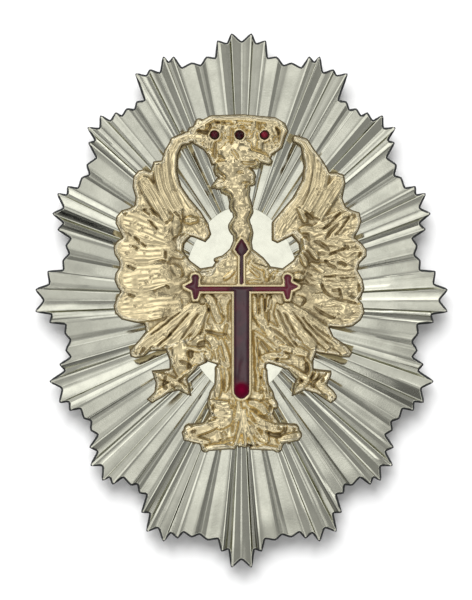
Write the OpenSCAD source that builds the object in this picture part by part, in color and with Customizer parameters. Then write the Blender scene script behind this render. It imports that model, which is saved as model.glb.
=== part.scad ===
// Wallet badge: a cast star of pleated rays with a gilt crowned eagle on it.
// The back of the star is flat and carries three short fixing posts.
// The badge lies on its posts, face up: +Z is out of the face, +Y is towards the crown.
// All tables are in steps of an eighth of a millimetre from the badge's centre.

/* [Size] */
// Height of the star from its top tips to its bottom tips
badge_h = 66.75; // [55:0.25:90]

/* [Star] */
// Thickness of the star in a notch at its outline
rim_t = 0.8; // [0.6:0.1:1.4]
// How much the middle stands above the notches at the outline
dome_h = 1.0; // [0.4:0.1:2]
// Height of a tall ray's ridge above the notches beside it, at the outline
pleat_h = 0.55; // [0.3:0.05:0.8]
// Depth of a notch between two rays of one length
notch_depth = 0.6; // [0.3:0.05:0.9]
// How far the side of the star spreads towards the back
edge_draft = 0.18; // [0.1:0.02:0.3]
// Share of a tip's height at which its ray's line meets the long axis
fan_share = 0.19; // [0:0.01:0.3]
// Half width of the flat middle
flat_a = 7.4; // [6.8:0.1:8]
// Half height of the flat middle
flat_b = 11.7; // [10:0.1:12.5]

/* [Fixing posts] */
// Diameter of a post
post_d = 2; // [1.4:0.1:3]
// Length of a post below the flat back
post_l = 3.5; // [2.5:0.1:6]
// Diameter of the circle through the three posts
post_circle_d = 36; // [28:1:40]

/* [Eagle] */
// Thickness of the casting at its edges
cast_edge = 0.65; // [0.5:0.05:0.9]
// Thickness of the plain web between the feathers
web_h = 1.1; // [0.9:0.05:1.3]
// Height of the cross's frame above the casting's back
frame_h = 2.1; // [1.9:0.05:2.4]
// Width of the gold line round the enamel
frame_w = 0.3; // [0.25:0.01:0.35]
// Depth of the enamel in its cell
enamel_t = 0.7; // [0.5:0.05:0.9]
// How far the enamel lies below the gold line
enamel_sink = 0.08; // [0.04:0.02:0.16]
// Gap between neighbouring pieces
fit_gap = 0.03; // [0.02:0.01:0.05]

/* [Hidden] */

// A row for each ray of the right-hand half, from the long axis to the short one:
// [tip x above, tip y above, tip x below, tip y below the short axis]
RAYS = [
    [10, 267, 10, 267], [24, 260, 20, 251], [35, 244, 34, 240], [50, 238, 50, 237],
    [68, 244, 64, 238], [78, 244, 78, 241], [92, 231, 95, 231], [106, 227, 100, 212],
    [105, 199, 102, 193], [115, 192, 111, 185], [126, 188, 129, 184], [141, 185, 139, 180],
    [154, 173, 151, 165], [153, 158, 152, 147], [155, 136, 151, 130], [160, 123, 158, 118],
    [174, 114, 172, 110], [184, 107, 182, 102], [189, 87, 192, 81], [184, 71, 182, 64],
    [176, 55, 176, 50], [179, 40, 177, 33], [194, 29, 192, 22], [206, 11, 206, 11]
];
// One table step, an eighth of a millimetre on a badge of the standard height
step = badge_h / (RAYS[0][1] + RAYS[0][3]);

// The rays repeat in a tall group of four and a low pair, a row for each, anticlockwise:
// [share of the ridge's height, share of the way to the next tip at which the notch lies,
// share of the height in the notch, share of the notch depth]
PLEATS = [
    [1, 0.64, 0, 0.8], [1, 0.5, 0, 1.6], [1, 0.36, 0, 0.8],
    [1, 0.32, 0.3, 0.7], [0.42, 0.45, 0, 0.85], [0.42, 0.68, 0.3, 0.7]
];

// The feathers of the right wing, from the crown down, a row each:
// [root x, root y, bend x, bend y, tip x, tip y, half width, crest]
WING = [
    [62, 92, 80, 118, 75, 150, 5, 4], [68, 90, 84, 112, 84, 136, 5, 4],
    [76, 84, 88, 104, 100, 123, 8, 4], [78, 66, 100, 76, 120, 82, 15, 2.5],
    [76, 52, 100, 52, 124, 51, 15, 2.5], [74, 26, 98, 24, 122, 20, 15.5, 2.5],
    [70, -4, 96, -6, 124, -9, 15, 2.5], [46, -6, 76, -26, 107, -52, 8, 4],
    [40, -8, 62, -28, 88, -48, 6, 4], [34, -6, 52, -28, 74, -48, 6, 4], [31, 2, 36, -22, 52, -42, 4, 4]
];

// The coverts over the feathers' roots on each side, by the same columns
LEFT_COVERTS = [
    [62, 91, 66, 80, 66, 62, 6, 4], [46, 80, 52, 81, 58, 79, 5, 6], [60, 44, 66, 46, 73, 51, 4.5, 3],
    [62, 26, 65, 31, 71, 36, 6, 3.5], [74, 41, 77, 46, 79, 52, 4, 2.5], [72, 22, 76, 28, 80, 33, 4, 2.5],
    [70, 77, 74, 72, 77, 66, 4, 2.5], [56, 18, 66, 14, 76, 12, 8, 1.5]
];
RIGHT_COVERTS = [
    [57, 91, 62, 86, 64, 77, 4, 4], [60, 70, 66, 73, 74, 68, 5, 3], [63, 60, 64, 56, 66, 49, 5, 4],
    [67, 52, 72, 48, 77, 40, 4, 4], [60, 45, 63, 40, 65, 33, 4, 4], [70, 36, 77, 34, 84, 28, 4, 4],
    [53, 24, 58, 25, 63, 22, 5, 4], [56, 10, 64, 12, 72, 4, 7, 2]
];

// The wings' outlines seen from above, from the crown round by the tips to the hook, x outwards
LEFT_WING = [
    [50, 165], [62, 164], [71, 160], [77, 150], [80, 140], [88, 139], [91, 129], [97, 131], [103, 130],
    [108, 124], [109, 113], [106, 103], [107, 95], [113, 92], [120, 90], [125, 84], [126, 77], [122, 69],
    [119, 63], [124, 60], [128, 54], [127, 46], [122, 38], [122, 33], [126, 27], [127, 20], [124, 13],
    [121, 9], [125, 3], [128, -6], [126, -13], [120, -19], [108, -22], [97, -24], [96, -31], [103, -40],
    [112, -50], [111, -56], [105, -58], [97, -56], [91, -51], [76, -50], [50, -40], [30, -20], [40, 10],
    [46, 30], [52, 38], [60, 49], [61, 59], [58, 65], [48, 63], [36, 58], [30, 66], [33, 76], [38, 84],
    [51, 97], [61, 109], [65, 128], [64, 147], [59, 154], [50, 156]
];
RIGHT_WING = [
    [52, 166], [65, 162], [72, 152], [82, 139], [88, 128], [95, 128], [102, 126], [104, 117], [101, 102],
    [104, 94], [111, 90], [118, 88], [120, 79], [117, 70], [113, 63], [119, 58], [125, 51], [125, 44],
    [118, 37], [116, 30], [121, 21], [123, 12], [120, 4], [117, 1], [121, -3], [123, -12], [119, -20],
    [111, -26], [100, -28], [88, -27], [92, -36], [104, -44], [111, -52], [108, -57], [100, -57],
    [92, -55], [77, -53], [50, -40], [30, -20], [38, 10], [38, 30], [51, 38], [60, 50], [60, 59],
    [54, 66], [36, 57], [30, 60], [30, 78], [40, 90], [51, 103], [60, 120], [62, 134], [59, 152]
];

// The wing's leading edge from the crown to its hook, a row for each section: [x, y, half width, crest]
LEADING_EDGE = [
    [54, 161, 4, 8], [63, 157, 5, 9], [69, 146, 6, 9], [71, 128, 7, 9], [67, 112, 7, 9],
    [58, 97, 8, 9], [48, 84, 9, 9], [40, 73, 8, 8], [37, 66, 6, 8]
];
// The rim of the breast below the wing's hook, by the same columns
BREAST_RIM = [[54, 66, 4, 6], [61, 58, 4, 7], [62, 48, 4, 7], [54, 37, 4, 7], [42, 28, 4, 6], [30, 30, 4, 6]];

// The forms of the breast, the legs and the tail on each side, by the feathers' columns
LEFT_BODY = [
    [8, 29, 12, 25, 18, 21, 2.5, 3], [18, 37, 20, 36, 23, 36, 3, 2], [10, 44, 18, 42, 28, 40, 3, 2],
    [34, 4, 25, -6, 22, -24, 6, 4], [44, -22, 38, -29, 30, -27, 6, 3], [60, -46, 48, -50, 34, -48, 3, 3],
    [33, -37, 24, -41, 28, -50, 6, 4], [33, -52, 33, -56, 33, -60, 5, 4],
    [20, -40, 15, -54, 12, -67, 3.5, 4], [26, -52, 22, -61, 14, -68, 3, 3],
    [15, -70, 13, -80, 17, -92, 3, 3], [24, -68, 22, -84, 25, -97, 4, 3],
    [62, -42, 60, -58, 62, -75, 9, 3], [63, -78, 54, -71, 43, -64, 2.5, 5],
    [62, -77, 66, -67, 71, -56, 2, 4], [66, -80, 76, -77, 86, -73, 4, 5],
    [66, -82, 76, -88, 89, -99, 5, 5], [64, -82, 58, -86, 52, -93, 3, 5],
    [12, -103, 22, -105, 32, -100, 5, 4], [7, -111, 20, -113, 31, -112, 6, 5],
    [8, -116, 14, -122, 26, -127, 5, 5], [20, -120, 36, -128, 56, -133, 6, 5],
    [8, -146, 22, -144, 37, -148, 4, 5], [34, -141, 46, -139, 57, -136, 4, 5]
];
RIGHT_BODY = [
    [8, 37, 12, 40, 9, 45, 2.5, 3], [10, 37, 18, 32, 27, 32, 2.5, 3], [9, 31, 14, 27, 18, 23, 2, 2],
    [8, 18, 14, 18, 21, 18, 3, 2], [24, 30, 26, 25, 25, 19, 3, 3], [12, 4, 14, -4, 14, -19, 4, 4],
    [20, 4, 19, -8, 22, -21, 3, 4], [27, 4, 28, -4, 24, -12, 3, 4], [14, -14, 22, -22, 32, -38, 6, 3],
    [27, -24, 40, -34, 52, -46, 5, 4], [13, -32, 24, -39, 35, -50, 3, 4],
    [13, -36, 16, -53, 14, -70, 2.5, 4], [21, -57, 34, -52, 48, -57, 4, 4],
    [40, -47, 54, -49, 67, -54, 5, 4], [23, -60, 35, -61, 51, -69, 3, 4],
    [49, -67, 60, -75, 68, -80, 4, 5], [64, -58, 72, -66, 67, -77, 2.5, 5],
    [75, -71, 76, -75, 70, -79, 2.5, 5], [87, -73, 84, -81, 74, -82, 4, 5],
    [76, -84, 86, -90, 94, -99, 5, 5], [64, -82, 58, -86, 53, -93, 4, 5],
    [15, -71, 18, -80, 15, -91, 3, 3], [23, -70, 22, -84, 26, -96, 4, 3],
    [9, -102, 19, -103, 25, -114, 5, 5], [24, -98, 32, -99, 35, -108, 4, 4],
    [11, -112, 20, -125, 37, -126, 4, 5], [11, -122, 24, -131, 41, -130, 3, 5],
    [7, -118, 12, -136, 27, -141, 4, 4], [21, -127, 25, -134, 26, -141, 3, 4],
    [38, -139, 50, -136, 60, -134, 5, 5], [10, -147, 22, -146, 37, -148, 3, 4]
];

// The stem of the tail, by the same columns, not mirrored
STEM = [
    [-3, -100, -4, -110, -4, -122, 4, 4], [0, -109, 1, -126, -8, -147, 3, 5],
    [3, -109, 4, -128, 14, -147, 3, 5], [1, -116, 3, -132, 4, -147, 3, 5]
];

// A leg and foot seen from above
FOOT = [
    [78, -44], [72, -60], [72, -68], [80, -69], [90, -70], [86, -82], [87, -91], [95, -99], [89, -103],
    [74, -93], [63, -90], [50, -96], [52, -84], [54, -79], [43, -66], [34, -62], [44, -34]
];

// The web between the tail's feathers: [x, y]
TAIL_WEB = [
    [-4, -108], [31, -112], [38, -122], [53, -123], [60, -132], [58, -140], [43, -143], [37, -152],
    [25, -148], [13, -144], [-4, -147]
];

// Knobs that end the toes and scrolls: [x, y, radius, height]
KNOBS = [[66, -81, 6, 10], [52, -129, 6, 10], [36, -147, 5, 9]];

// The head and neck, a row for each section: [x, y, half width, crest]
NECK = [
    [-4, 140, 24, 13], [-8, 133, 20, 14], [-5, 126, 16, 14], [-4, 120, 18, 14], [-5, 114, 17, 13],
    [-3, 109, 12.5, 12], [-1.5, 103, 10, 12], [-1, 95, 12, 13], [1, 89, 11, 13], [0, 82, 8.6, 12],
    [-1.5, 74, 12, 13], [1.5, 67, 10.5, 12], [1, 59, 9.5, 12], [0, 50, 12, 11], [-2, 38, 20, 9]
];
// The lumps of the head, by the feathers' columns, and the beak, by a section's
HEAD = [
    [-23, 136, -13, 137, -4, 134, 5, 11], [-16, 128, -8, 126, 2, 122, 6, 10],
    [3, 131, 9, 127, 13, 121, 5, 9], [-24, 114, -15, 117, -4, 117, 5, 10],
    [-6, 114, 2, 112, 6, 107, 6, 10], [2, 119, 8, 118, 14, 117, 4, 8]
];
BEAK = [[-12, 121, 6, 13], [-22, 118, 5, 11], [-29, 113, 2, 7]];

// The crown's outline from its left shoulder clockwise: [x, y]
CROWN = [
    [-55, 162], [-50, 171], [-42, 178], [-34, 183], [-13, 185], [2, 186], [34, 183], [44, 177], [47, 169],
    [43, 160], [41, 152], [31, 145], [27, 136], [0, 139], [-30, 135], [-33, 143], [-38, 150], [-48, 156]
];
// Its two hoops, the upper one and the rim, by the columns of a section
UPPER_HOOP = [
    [-51, 163, 3, 8], [-45, 173, 4, 10], [-30, 181, 4, 11], [0, 182, 4, 11], [32, 179, 4, 11],
    [42, 170, 4, 10], [38, 156, 4, 9]
];
RIM_HOOP = [
    [-1, 150, 3, 11], [4, 148, 5, 12], [14, 145, 6, 13], [22, 142, 6, 13], [27, 139, 4, 12]
];

// The bosses between them: [x, y, radius, height]
CROWN_BOSSES = [
    [-22, 174, 5, 11], [11, 174, 5, 11], [-7, 178, 4, 11], [-42, 177, 5, 10], [-49, 169, 5, 9],
    [-38, 154, 3, 10], [-31, 146, 3, 11], [-14, 146, 7, 12], [-12, 156, 5, 11], [5, 157, 4, 11],
    [18, 157, 4, 11], [29, 162, 5, 11], [28, 154, 4, 11]
];

// The bridge from the crown to the left wing
BRIDGE = [[-40, 164, 6, 9], [-54, 163, 6, 8], [-66, 158, 6, 8]];
// The middles of the crown's stones: [x, y]
STONES = [[-27, 165], [-2, 165], [23, 165]];

// The breast behind the cross, its right half from the neck to the tail: [x, y]
BREAST = [
    [0, 54], [12, 51], [22, 43], [28, 36], [32, 28], [42, 29], [52, 38], [64, 46], [68, 0], [60, -30],
    [46, -50], [34, -61], [25, -64], [24, -78], [32, -91], [35, -103], [31, -116], [0, -116]
];

// The cross in table steps: the blade's half width and ends, and the arms' middle and half height
blade_x = 7.5;
blade_top = 13.5;
blade_foot = -90;
arm_y = 11.5;
arm_half = 2.2;
// A flowered end: its middle, the lobe above it, the stalk, its waist below the arm, and the point
flower_x = 46;
flower_y = 14;
lobe_y = 8.5;
lobe_r = 3.7;
stalk_half = 3;
stalk_foot = 1.5;
foot_half = 1.5;
waist_x = 4;
waist_y = 5;
point_x = 57;
point_half = 4;
// The spear: its tip, widest place, shoulder and foot, and the stem that narrows up to it
spear_tip = 61.5;
spear_wide_y = 50.5;
spear_half = 6.5;
shoulder_half = 3.9;
shoulder_y = 55.9;
spear_foot_half = 3.25;
spear_foot_y = 46;
stem_half = 1.8;
stem_top_half = 1.44;
stem_top = 44.5;
stem_foot = 16.5;

back_z = post_l + fit_gap;
valley_out_z = back_z + rim_t;
flat_z = valley_out_z + dome_h;
// Height of a ridge where it leaves the flat middle
pleat_in_h = 0.35 * pleat_h;
// How much the ridges' inner ends stand outside the flat middle's outline, as a share
ridge_start = 1.004;
// Difference in length of two rays at which their notch is held in most, and the depth it loses
step_whole = 1.6;
notch_loss = 0.4;
// The longest mitre of the star's side, in drafts
mitre_most = 2.2;
eagle_z = flat_z + pleat_in_h + fit_gap;
frame_z = eagle_z + frame_h;
// Heights of the edges of the coverts and the neck
covert_edge = web_h + 0.1;
neck_edge = cast_edge - 0.25;
// How much a band's crest stands above its table's height, a knob's straight foot, and its top's share
least_crest = 0.2;
knob_foot = 0.5;
knob_top = 0.5;
// The crown's plate, and the collar and seat of a stone in it
crown_t = 1;
collar_h = 1.5;
collar_r = 1.3;
collar_top_r = 0.8;
seat_z = 0.95;
stone_r = 0.5;
// A stone's straight girdle, the slope above it, and the radius of its flat top
girdle_h = 0.35;
table_h = 0.2;
table_r = 0.25;
FACETS = 24;
KNOB_FACETS = 10;

function unit(v) = v / norm(v);
function turned(v) = [-v[1], v[0]];
function mirrored(rows) = [for (r = [len(rows) - 1:-1:0]) [-rows[r][0], rows[r][1]]];

// The tips all round, anticlockwise from just left of the upper long axis
QUARTERS = [
    [for (r = RAYS) [-r[0], r[1]]],
    [for (i = [len(RAYS) - 1:-1:0]) [-RAYS[i][2], -RAYS[i][3]]],
    [for (r = RAYS) [r[2], -r[3]]],
    [for (i = [len(RAYS) - 1:-1:0]) [RAYS[i][0], RAYS[i][1]]]
];
TIPS = [for (q = QUARTERS) for (t = q) t * step];
ray_count = len(TIPS);

function pleat(i) = PLEATS[(i + 2) % len(PLEATS)];

// The notch after a tip, held in less where the two rays beside it differ in length
function notch_after(i) =
    let (a = TIPS[i], b = TIPS[(i + 1) % ray_count],
         ra = norm(a), rb = norm(b), stepped = min(1, abs(ra - rb) / step_whole),
         way = unit(a * (1 - pleat(i)[1]) / ra + b * pleat(i)[1] / rb))
    way * (min(ra, rb) - notch_depth * pleat(i)[3] * (1 - notch_loss * stepped));

// The outline: a tip and a notch by turns
OUTLINE = [for (i = [0:ray_count - 1]) each [TIPS[i], notch_after(i)]];
edge_count = len(OUTLINE);

// Where the line from an outline point towards its own place on the long axis meets the flat middle
function on_flat(p) =
    let (f = [0, fan_share * p[1]], d = p - f,
         qa = pow(d[0] / flat_a, 2) + pow(d[1] / flat_b, 2),
         qb = 2 * (f[0] * d[0] / pow(flat_a, 2) + f[1] * d[1] / pow(flat_b, 2)),
         qc = pow(f[1] / flat_b, 2) - 1,
         t = (-qb + sqrt(qb * qb - 4 * qa * qc)) / (2 * qa))
    f + d * t;

// A point of the outline moved outwards by d, mitred, with long mitres held in
function spread(i, d) =
    let (p = OUTLINE[i], a = OUTLINE[(i + edge_count - 1) % edge_count],
         b = OUTLINE[(i + 1) % edge_count],
         na = -turned(unit(p - a)), nb = -turned(unit(b - p)), m = unit(na + nb))
    p + m * d / max(1 / mitre_most, m * na);

// Share of the ridge's height at an outline point: even ones are tips and odd ones notches
function level(i) = pleat(floor(i / 2))[i % 2 == 0 ? 0 : 2];

function ring_faces(a, b, n) =
    [for (i = [0:n - 1]) each [[a + i, b + i, b + (i + 1) % n], [a + i, b + (i + 1) % n, a + (i + 1) % n]]];

module star_plaque() {
    n = edge_count;
    inner = [for (p = OUTLINE) on_flat(p)];
    points = concat(
        [for (p = inner) [p[0], p[1], flat_z]],
        [for (i = [0:n - 1]) let (p = inner[i] * ridge_start) [p[0], p[1], flat_z + pleat_in_h * level(i)]],
        [for (i = [0:n - 1]) [OUTLINE[i][0], OUTLINE[i][1], valley_out_z + pleat_h * level(i)]],
        [for (i = [0:n - 1]) let (s = spread(i, edge_draft)) [s[0], s[1], back_z]],
        [for (p = inner) [p[0], p[1], back_z]],
        [[0, 0, flat_z], [0, 0, back_z]]
    );
    faces = concat(
        [for (i = [0:n - 1]) [5 * n, i, (i + 1) % n]],
        ring_faces(0, n, n), ring_faces(n, 2 * n, n), ring_faces(2 * n, 3 * n, n),
        [for (f = ring_faces(4 * n, 3 * n, n)) [f[2], f[1], f[0]]],
        [for (i = [0:n - 1]) [5 * n + 1, 4 * n + (i + 1) % n, 4 * n + i]]
    );
    color("silver") polyhedron(points, [for (f = faces) [f[2], f[1], f[0]]]);
}

// A post on the circle of posts, at an angle from the +X axis
module post(angle) {
    color("silver") rotate([0, 0, angle]) translate([post_circle_d / 2, 0, 0])
        cylinder(h = post_l, d = post_d, $fn = 2 * FACETS);
}

// Half width and height of a feather along its length, from root to tip: [place, width, height]
PLUME = [[0, 0.75, 0.85], [0.45, 1, 1], [0.84, 1, 0.9], [1, 0.5, 0.6]];

function curve(a, b, c, t) = (1 - t) * (1 - t) * a + 2 * t * (1 - t) * b + t * t * c;
function heading(a, b, c, t) = unit((1 - t) * (b - a) + t * (c - b));

// Five points round a section at p: flat below, an edge on each side and a crest
function section(p, side, edge, top) = [
    [p[0] - side[0], p[1] - side[1], 0], [p[0] - side[0], p[1] - side[1], edge], [p[0], p[1], top],
    [p[0] + side[0], p[1] + side[1], edge], [p[0] + side[0], p[1] + side[1], 0]
];

// A closed skin over a row of five-point sections
module skin(sections) {
    n = len(sections);
    last = 5 * (n - 1);
    polyhedron([for (s = sections) each s], concat(
        [for (s = [0:n - 2]) for (k = [0:4]) each [
            [5 * s + k, 5 * s + (k + 1) % 5, 5 * s + 5 + (k + 1) % 5],
            [5 * s + k, 5 * s + 5 + (k + 1) % 5, 5 * s + 5 + k]
        ]],
        [[0, 4, 3], [0, 3, 2], [0, 2, 1]],
        [[last, last + 1, last + 2], [last, last + 2, last + 3], [last, last + 3, last + 4]]
    ));
}

// A feather from a row of one of the feather tables
module plume(row, edge = cast_edge) {
    a = [row[0], row[1]] * step;
    b = [row[2], row[3]] * step;
    c = [row[4], row[5]] * step;
    skin([for (s = PLUME) section(
        curve(a, b, c, s[0]), turned(heading(a, b, c, s[0])) * row[6] * step * s[1],
        edge * s[2], edge + row[7] * step * s[2]
    )]);
}

// A band through a table's sections, each across the line of its neighbours
module band(rows, edge = cast_edge) {
    n = len(rows);
    points = [for (r = rows) [r[0], r[1]] * step];
    skin([for (i = [0:n - 1]) section(
        points[i], turned(unit(points[min(n - 1, i + 1)] - points[max(0, i - 1)])) * rows[i][2] * step,
        edge, max(edge, rows[i][3] * step) + least_crest
    )]);
}

module knob(row) {
    translate([row[0] * step, row[1] * step, 0]) hull() {
        cylinder(h = knob_foot, r = row[2] * step, $fn = KNOB_FACETS);
        cylinder(h = row[3] * step, r = row[2] * step * knob_top, $fn = KNOB_FACETS);
    }
}

module both_sides() {
    children();
    mirror([1, 0, 0]) children();
}

module cross_spear_outline() {
    polygon([for (p = [
        [-stem_half, stem_foot], [stem_half, stem_foot], [stem_top_half, stem_top],
        [spear_foot_half, spear_foot_y], [spear_half, spear_wide_y], [shoulder_half, shoulder_y],
        [0, spear_tip], [-shoulder_half, shoulder_y], [-spear_half, spear_wide_y],
        [-spear_foot_half, spear_foot_y], [-stem_top_half, stem_top]
    ]) p * step]);
}

// One flowered end: a round lobe above, a stalk below and a point beyond
module cross_flower_outline() {
    translate([flower_x * step, (flower_y + lobe_y) * step]) circle(r = lobe_r * step, $fn = FACETS);
    polygon([for (p = [
        [flower_x - stalk_half, flower_y + lobe_y], [flower_x + stalk_half, flower_y + lobe_y],
        [flower_x + stalk_half, flower_y + point_half], [point_x, flower_y],
        [flower_x + stalk_half, flower_y - point_half], [flower_x + foot_half, stalk_foot],
        [flower_x - foot_half, stalk_foot], [flower_x - waist_x, flower_y - waist_y]
    ]) p * step]);
}

module cross_tee_outline() {
    translate([-blade_x * step, blade_foot * step])
        square([2 * blade_x * step, (blade_top - blade_foot) * step]);
    translate([0, blade_foot * step]) circle(r = blade_x * step, $fn = FACETS);
    translate([-flower_x * step, (arm_y - arm_half) * step])
        square([2 * flower_x * step, 2 * arm_half * step]);
    cross_flower_outline();
    mirror([1, 0]) cross_flower_outline();
}

module crown() {
    difference() {
        union() {
            linear_extrude(crown_t) polygon(CROWN * step);
            band(UPPER_HOOP);
            band(RIM_HOOP);
            band(BRIDGE);
            for (r = CROWN_BOSSES) knob(r);
            for (s = STONES) translate([s[0] * step, s[1] * step, 0])
                cylinder(h = collar_h, r1 = collar_r, r2 = collar_top_r, $fn = FACETS / 2);
        }
        for (s = STONES) translate([s[0] * step, s[1] * step, seat_z])
            cylinder(h = frame_h, r = stone_r + fit_gap, $fn = FACETS);
    }
}

// A wing: its web, and the feathers and coverts held inside the web's outline
module wing(outline, coverts) {
    linear_extrude(web_h) polygon(outline * step);
    intersection() {
        linear_extrude(2 * frame_h) polygon(outline * step);
        union() {
            for (r = WING) plume(r, web_h);
            for (r = coverts) plume(r, covert_edge);
        }
    }
}

module eagle() {
    color("gold") translate([0, 0, eagle_z]) difference() {
        union() {
            wing(RIGHT_WING, RIGHT_COVERTS);
            mirror([1, 0, 0]) wing(LEFT_WING, LEFT_COVERTS);
            for (r = RIGHT_BODY) plume(r, web_h);
            mirror([1, 0, 0]) for (r = LEFT_BODY) plume(r, web_h);
            for (r = STEM) plume(r, web_h);
            both_sides() {
                band(LEADING_EDGE);
                linear_extrude(web_h) polygon(FOOT * step);
                band(BREAST_RIM);
                for (r = KNOBS) knob(r);
                linear_extrude(web_h) polygon(TAIL_WEB * step);
            }
            linear_extrude(web_h) polygon(concat(BREAST, mirrored(BREAST)) * step);
            linear_extrude(frame_h) {
                offset(delta = frame_w) cross_tee_outline();
                offset(delta = frame_w) cross_spear_outline();
            }
            band(NECK, neck_edge);
            for (r = HEAD) plume(r);
            band(BEAK);
            crown();
        }
        translate([0, 0, frame_h - enamel_sink - enamel_t]) linear_extrude(frame_h) {
            cross_tee_outline();
            cross_spear_outline();
        }
    }
}

module enamel_tee() {
    color("darkred") translate([0, 0, frame_z - enamel_sink - enamel_t + fit_gap])
        linear_extrude(enamel_t - fit_gap) offset(delta = -fit_gap) cross_tee_outline();
}

module enamel_spear() {
    color("darkred") translate([0, 0, frame_z - enamel_sink - enamel_t + fit_gap])
        linear_extrude(enamel_t - fit_gap) offset(delta = -fit_gap) cross_spear_outline();
}

module crown_stone(i) {
    color("red") translate([STONES[i][0] * step, STONES[i][1] * step, eagle_z + seat_z + fit_gap]) {
        cylinder(h = girdle_h, r = stone_r, $fn = FACETS);
        translate([0, 0, girdle_h]) cylinder(h = table_h, r1 = stone_r, r2 = table_r, $fn = FACETS);
    }
}

star_plaque();
eagle();
enamel_tee();
enamel_spear();
crown_stone(0);  // crown_stone_1
crown_stone(1);  // crown_stone_2
crown_stone(2);  // crown_stone_3
post(90);  // post_top
post(210);  // post_left
post(330);  // post_right
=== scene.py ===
import math
from types import SimpleNamespace
import bpy
import numpy as np
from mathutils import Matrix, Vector
from mathutils.geometry import delaunay_2d_cdt


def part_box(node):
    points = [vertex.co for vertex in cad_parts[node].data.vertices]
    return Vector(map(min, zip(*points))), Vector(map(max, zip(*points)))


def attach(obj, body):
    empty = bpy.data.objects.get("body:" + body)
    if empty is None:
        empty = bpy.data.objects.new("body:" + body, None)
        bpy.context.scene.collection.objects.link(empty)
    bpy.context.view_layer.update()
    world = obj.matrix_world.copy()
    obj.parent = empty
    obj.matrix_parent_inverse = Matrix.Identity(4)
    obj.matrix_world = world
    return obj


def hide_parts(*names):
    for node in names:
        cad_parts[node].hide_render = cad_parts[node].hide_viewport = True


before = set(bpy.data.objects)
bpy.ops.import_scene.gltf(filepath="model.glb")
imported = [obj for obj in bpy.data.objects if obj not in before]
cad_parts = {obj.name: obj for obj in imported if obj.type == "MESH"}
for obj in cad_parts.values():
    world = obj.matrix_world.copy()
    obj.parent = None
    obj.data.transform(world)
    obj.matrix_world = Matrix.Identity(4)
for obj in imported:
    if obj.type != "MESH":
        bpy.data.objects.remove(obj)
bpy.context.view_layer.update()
print("frame loaded with", len(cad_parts), "nodes")

mm = 0.001
step = 0.125 * mm


# The whole part of each place, and its fraction t eased by 3t^2 - 2t^3
def easedCell(place):
    whole = np.floor(place).astype(int)
    t = place - whole
    return whole, t * t * (3 - 2 * t)


# A value held between 0 and 1
def held(value):
    return np.clip(value, 0, 1)


# Value noise: random heights on a square lattice of the given size, eased between the corners of
# each square in both directions; the result runs from -1 to 1
def lumps(x, y, size, seed):
    table = np.random.default_rng(seed).uniform(-1, 1, (64, 64))
    column, tx = easedCell(x / size)
    row, ty = easedCell(y / size)
    low, high = (table[k % 64, column % 64] * (1 - tx) + table[k % 64, (column + 1) % 64] * tx
                 for k in (row, row + 1))
    return low * (1 - ty) + high * ty


# Three layers of value noise, each finer, half as strong and turned by 37 degrees from the last
def roughness(x, y, size, seed):
    total = np.zeros_like(x)
    for layer in range(3):
        total += lumps(x, y, size / 1.9 ** layer, seed + layer) / 2 ** layer
        x, y = 0.8 * x - 0.6 * y, 0.6 * x + 0.8 * y
    return total / 1.75


# Worm-like ridges: 1 less the size of value noise, so that they stand along the noise's zero lines
def worms(x, y, size, seed):
    bent = x + 0.3 * size * lumps(x, y, 1.7 * size, seed + 9)
    return held(1 - 3.2 * np.abs(lumps(bent, y, size, seed)))


# Points of the plane at one height, or each at its own
def atHeight(plan, z):
    return np.concatenate([plan, np.broadcast_to(z, plan.shape[:-1])[..., None]], -1)


# A skin closed at both ends: quads between rings of points, from the top ring outwards and down,
# and a fan of triangles to a pole at each end
def ringSkin(rings, poles):
    total, wide = rings.shape[:2]
    number = np.arange(total * wide).reshape(total, wide)
    ahead = np.roll(number, -1, 1)
    quads = np.stack([number[:-1], number[1:], ahead[1:], ahead[:-1]], -1).reshape(-1, 4)
    pole = np.full(wide, total * wide)
    fans = np.concatenate([
        np.stack([pole, number[0], ahead[0]], 1), np.stack([pole + 1, ahead[-1], number[-1]], 1)])
    return np.concatenate([rings.reshape(-1, 3), poles]), quads.tolist() + fans.tolist()


# A mesh object at the origin from corner points and faces, with named values at its points
def meshObject(name, points, faces, values={}, smooth=True, sharpAngle=None):
    mesh = bpy.data.meshes.new(name)
    mesh.from_pydata(points.tolist(), [], faces)
    for key, numbers in values.items():
        layer = mesh.attributes.new(key, "FLOAT", "POINT")
        layer.data.foreach_set("value", np.ascontiguousarray(numbers, dtype=np.float32))
    mesh.polygons.foreach_set("use_smooth", np.full(len(mesh.polygons), smooth))
    mesh.update()
    if sharpAngle:
        mesh.set_sharp_from_angle(angle=math.radians(sharpAngle))
    made = bpy.data.objects.new(name, mesh)
    bpy.context.scene.collection.objects.link(made)
    return made


# A finished piece stands for a node of the frame: it hangs under the root body, and the node is hidden
def standFor(made, node):
    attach(made, "root")
    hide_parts(node)
    return made


# The star's measures, for its user to change
star = {
    "rim": 0.8 * mm,
    "dome": 1.0 * mm,
    "facetTilt": 22,
    "ridgeMost": 0.62 * mm,
    "ridgeLeast": 0.03 * mm,
    "notch": 0.6 * mm,
    "unlikeTips": 1.6 * mm,
    "unlikeLoss": 0.4,
    "straight": 0.35,
    "columnsPerRay": 7,
    "closest": 0.012,
    "fanShare": 0.19,
    "flatStep": 1.003,
    "flatHalfWidth": 7.4 * mm,
    "flatHalfHeight": 11.7 * mm,
    "draft": 0.07 * mm,
    "lipInset": 0.16 * mm,
    "chamfer": 0.1 * mm,
    "bevelFrom": 0.5,
    "rings": 30,
    "unevenness": 0.02 * mm,
    "unevenSize": 3.1 * mm,
}
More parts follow.
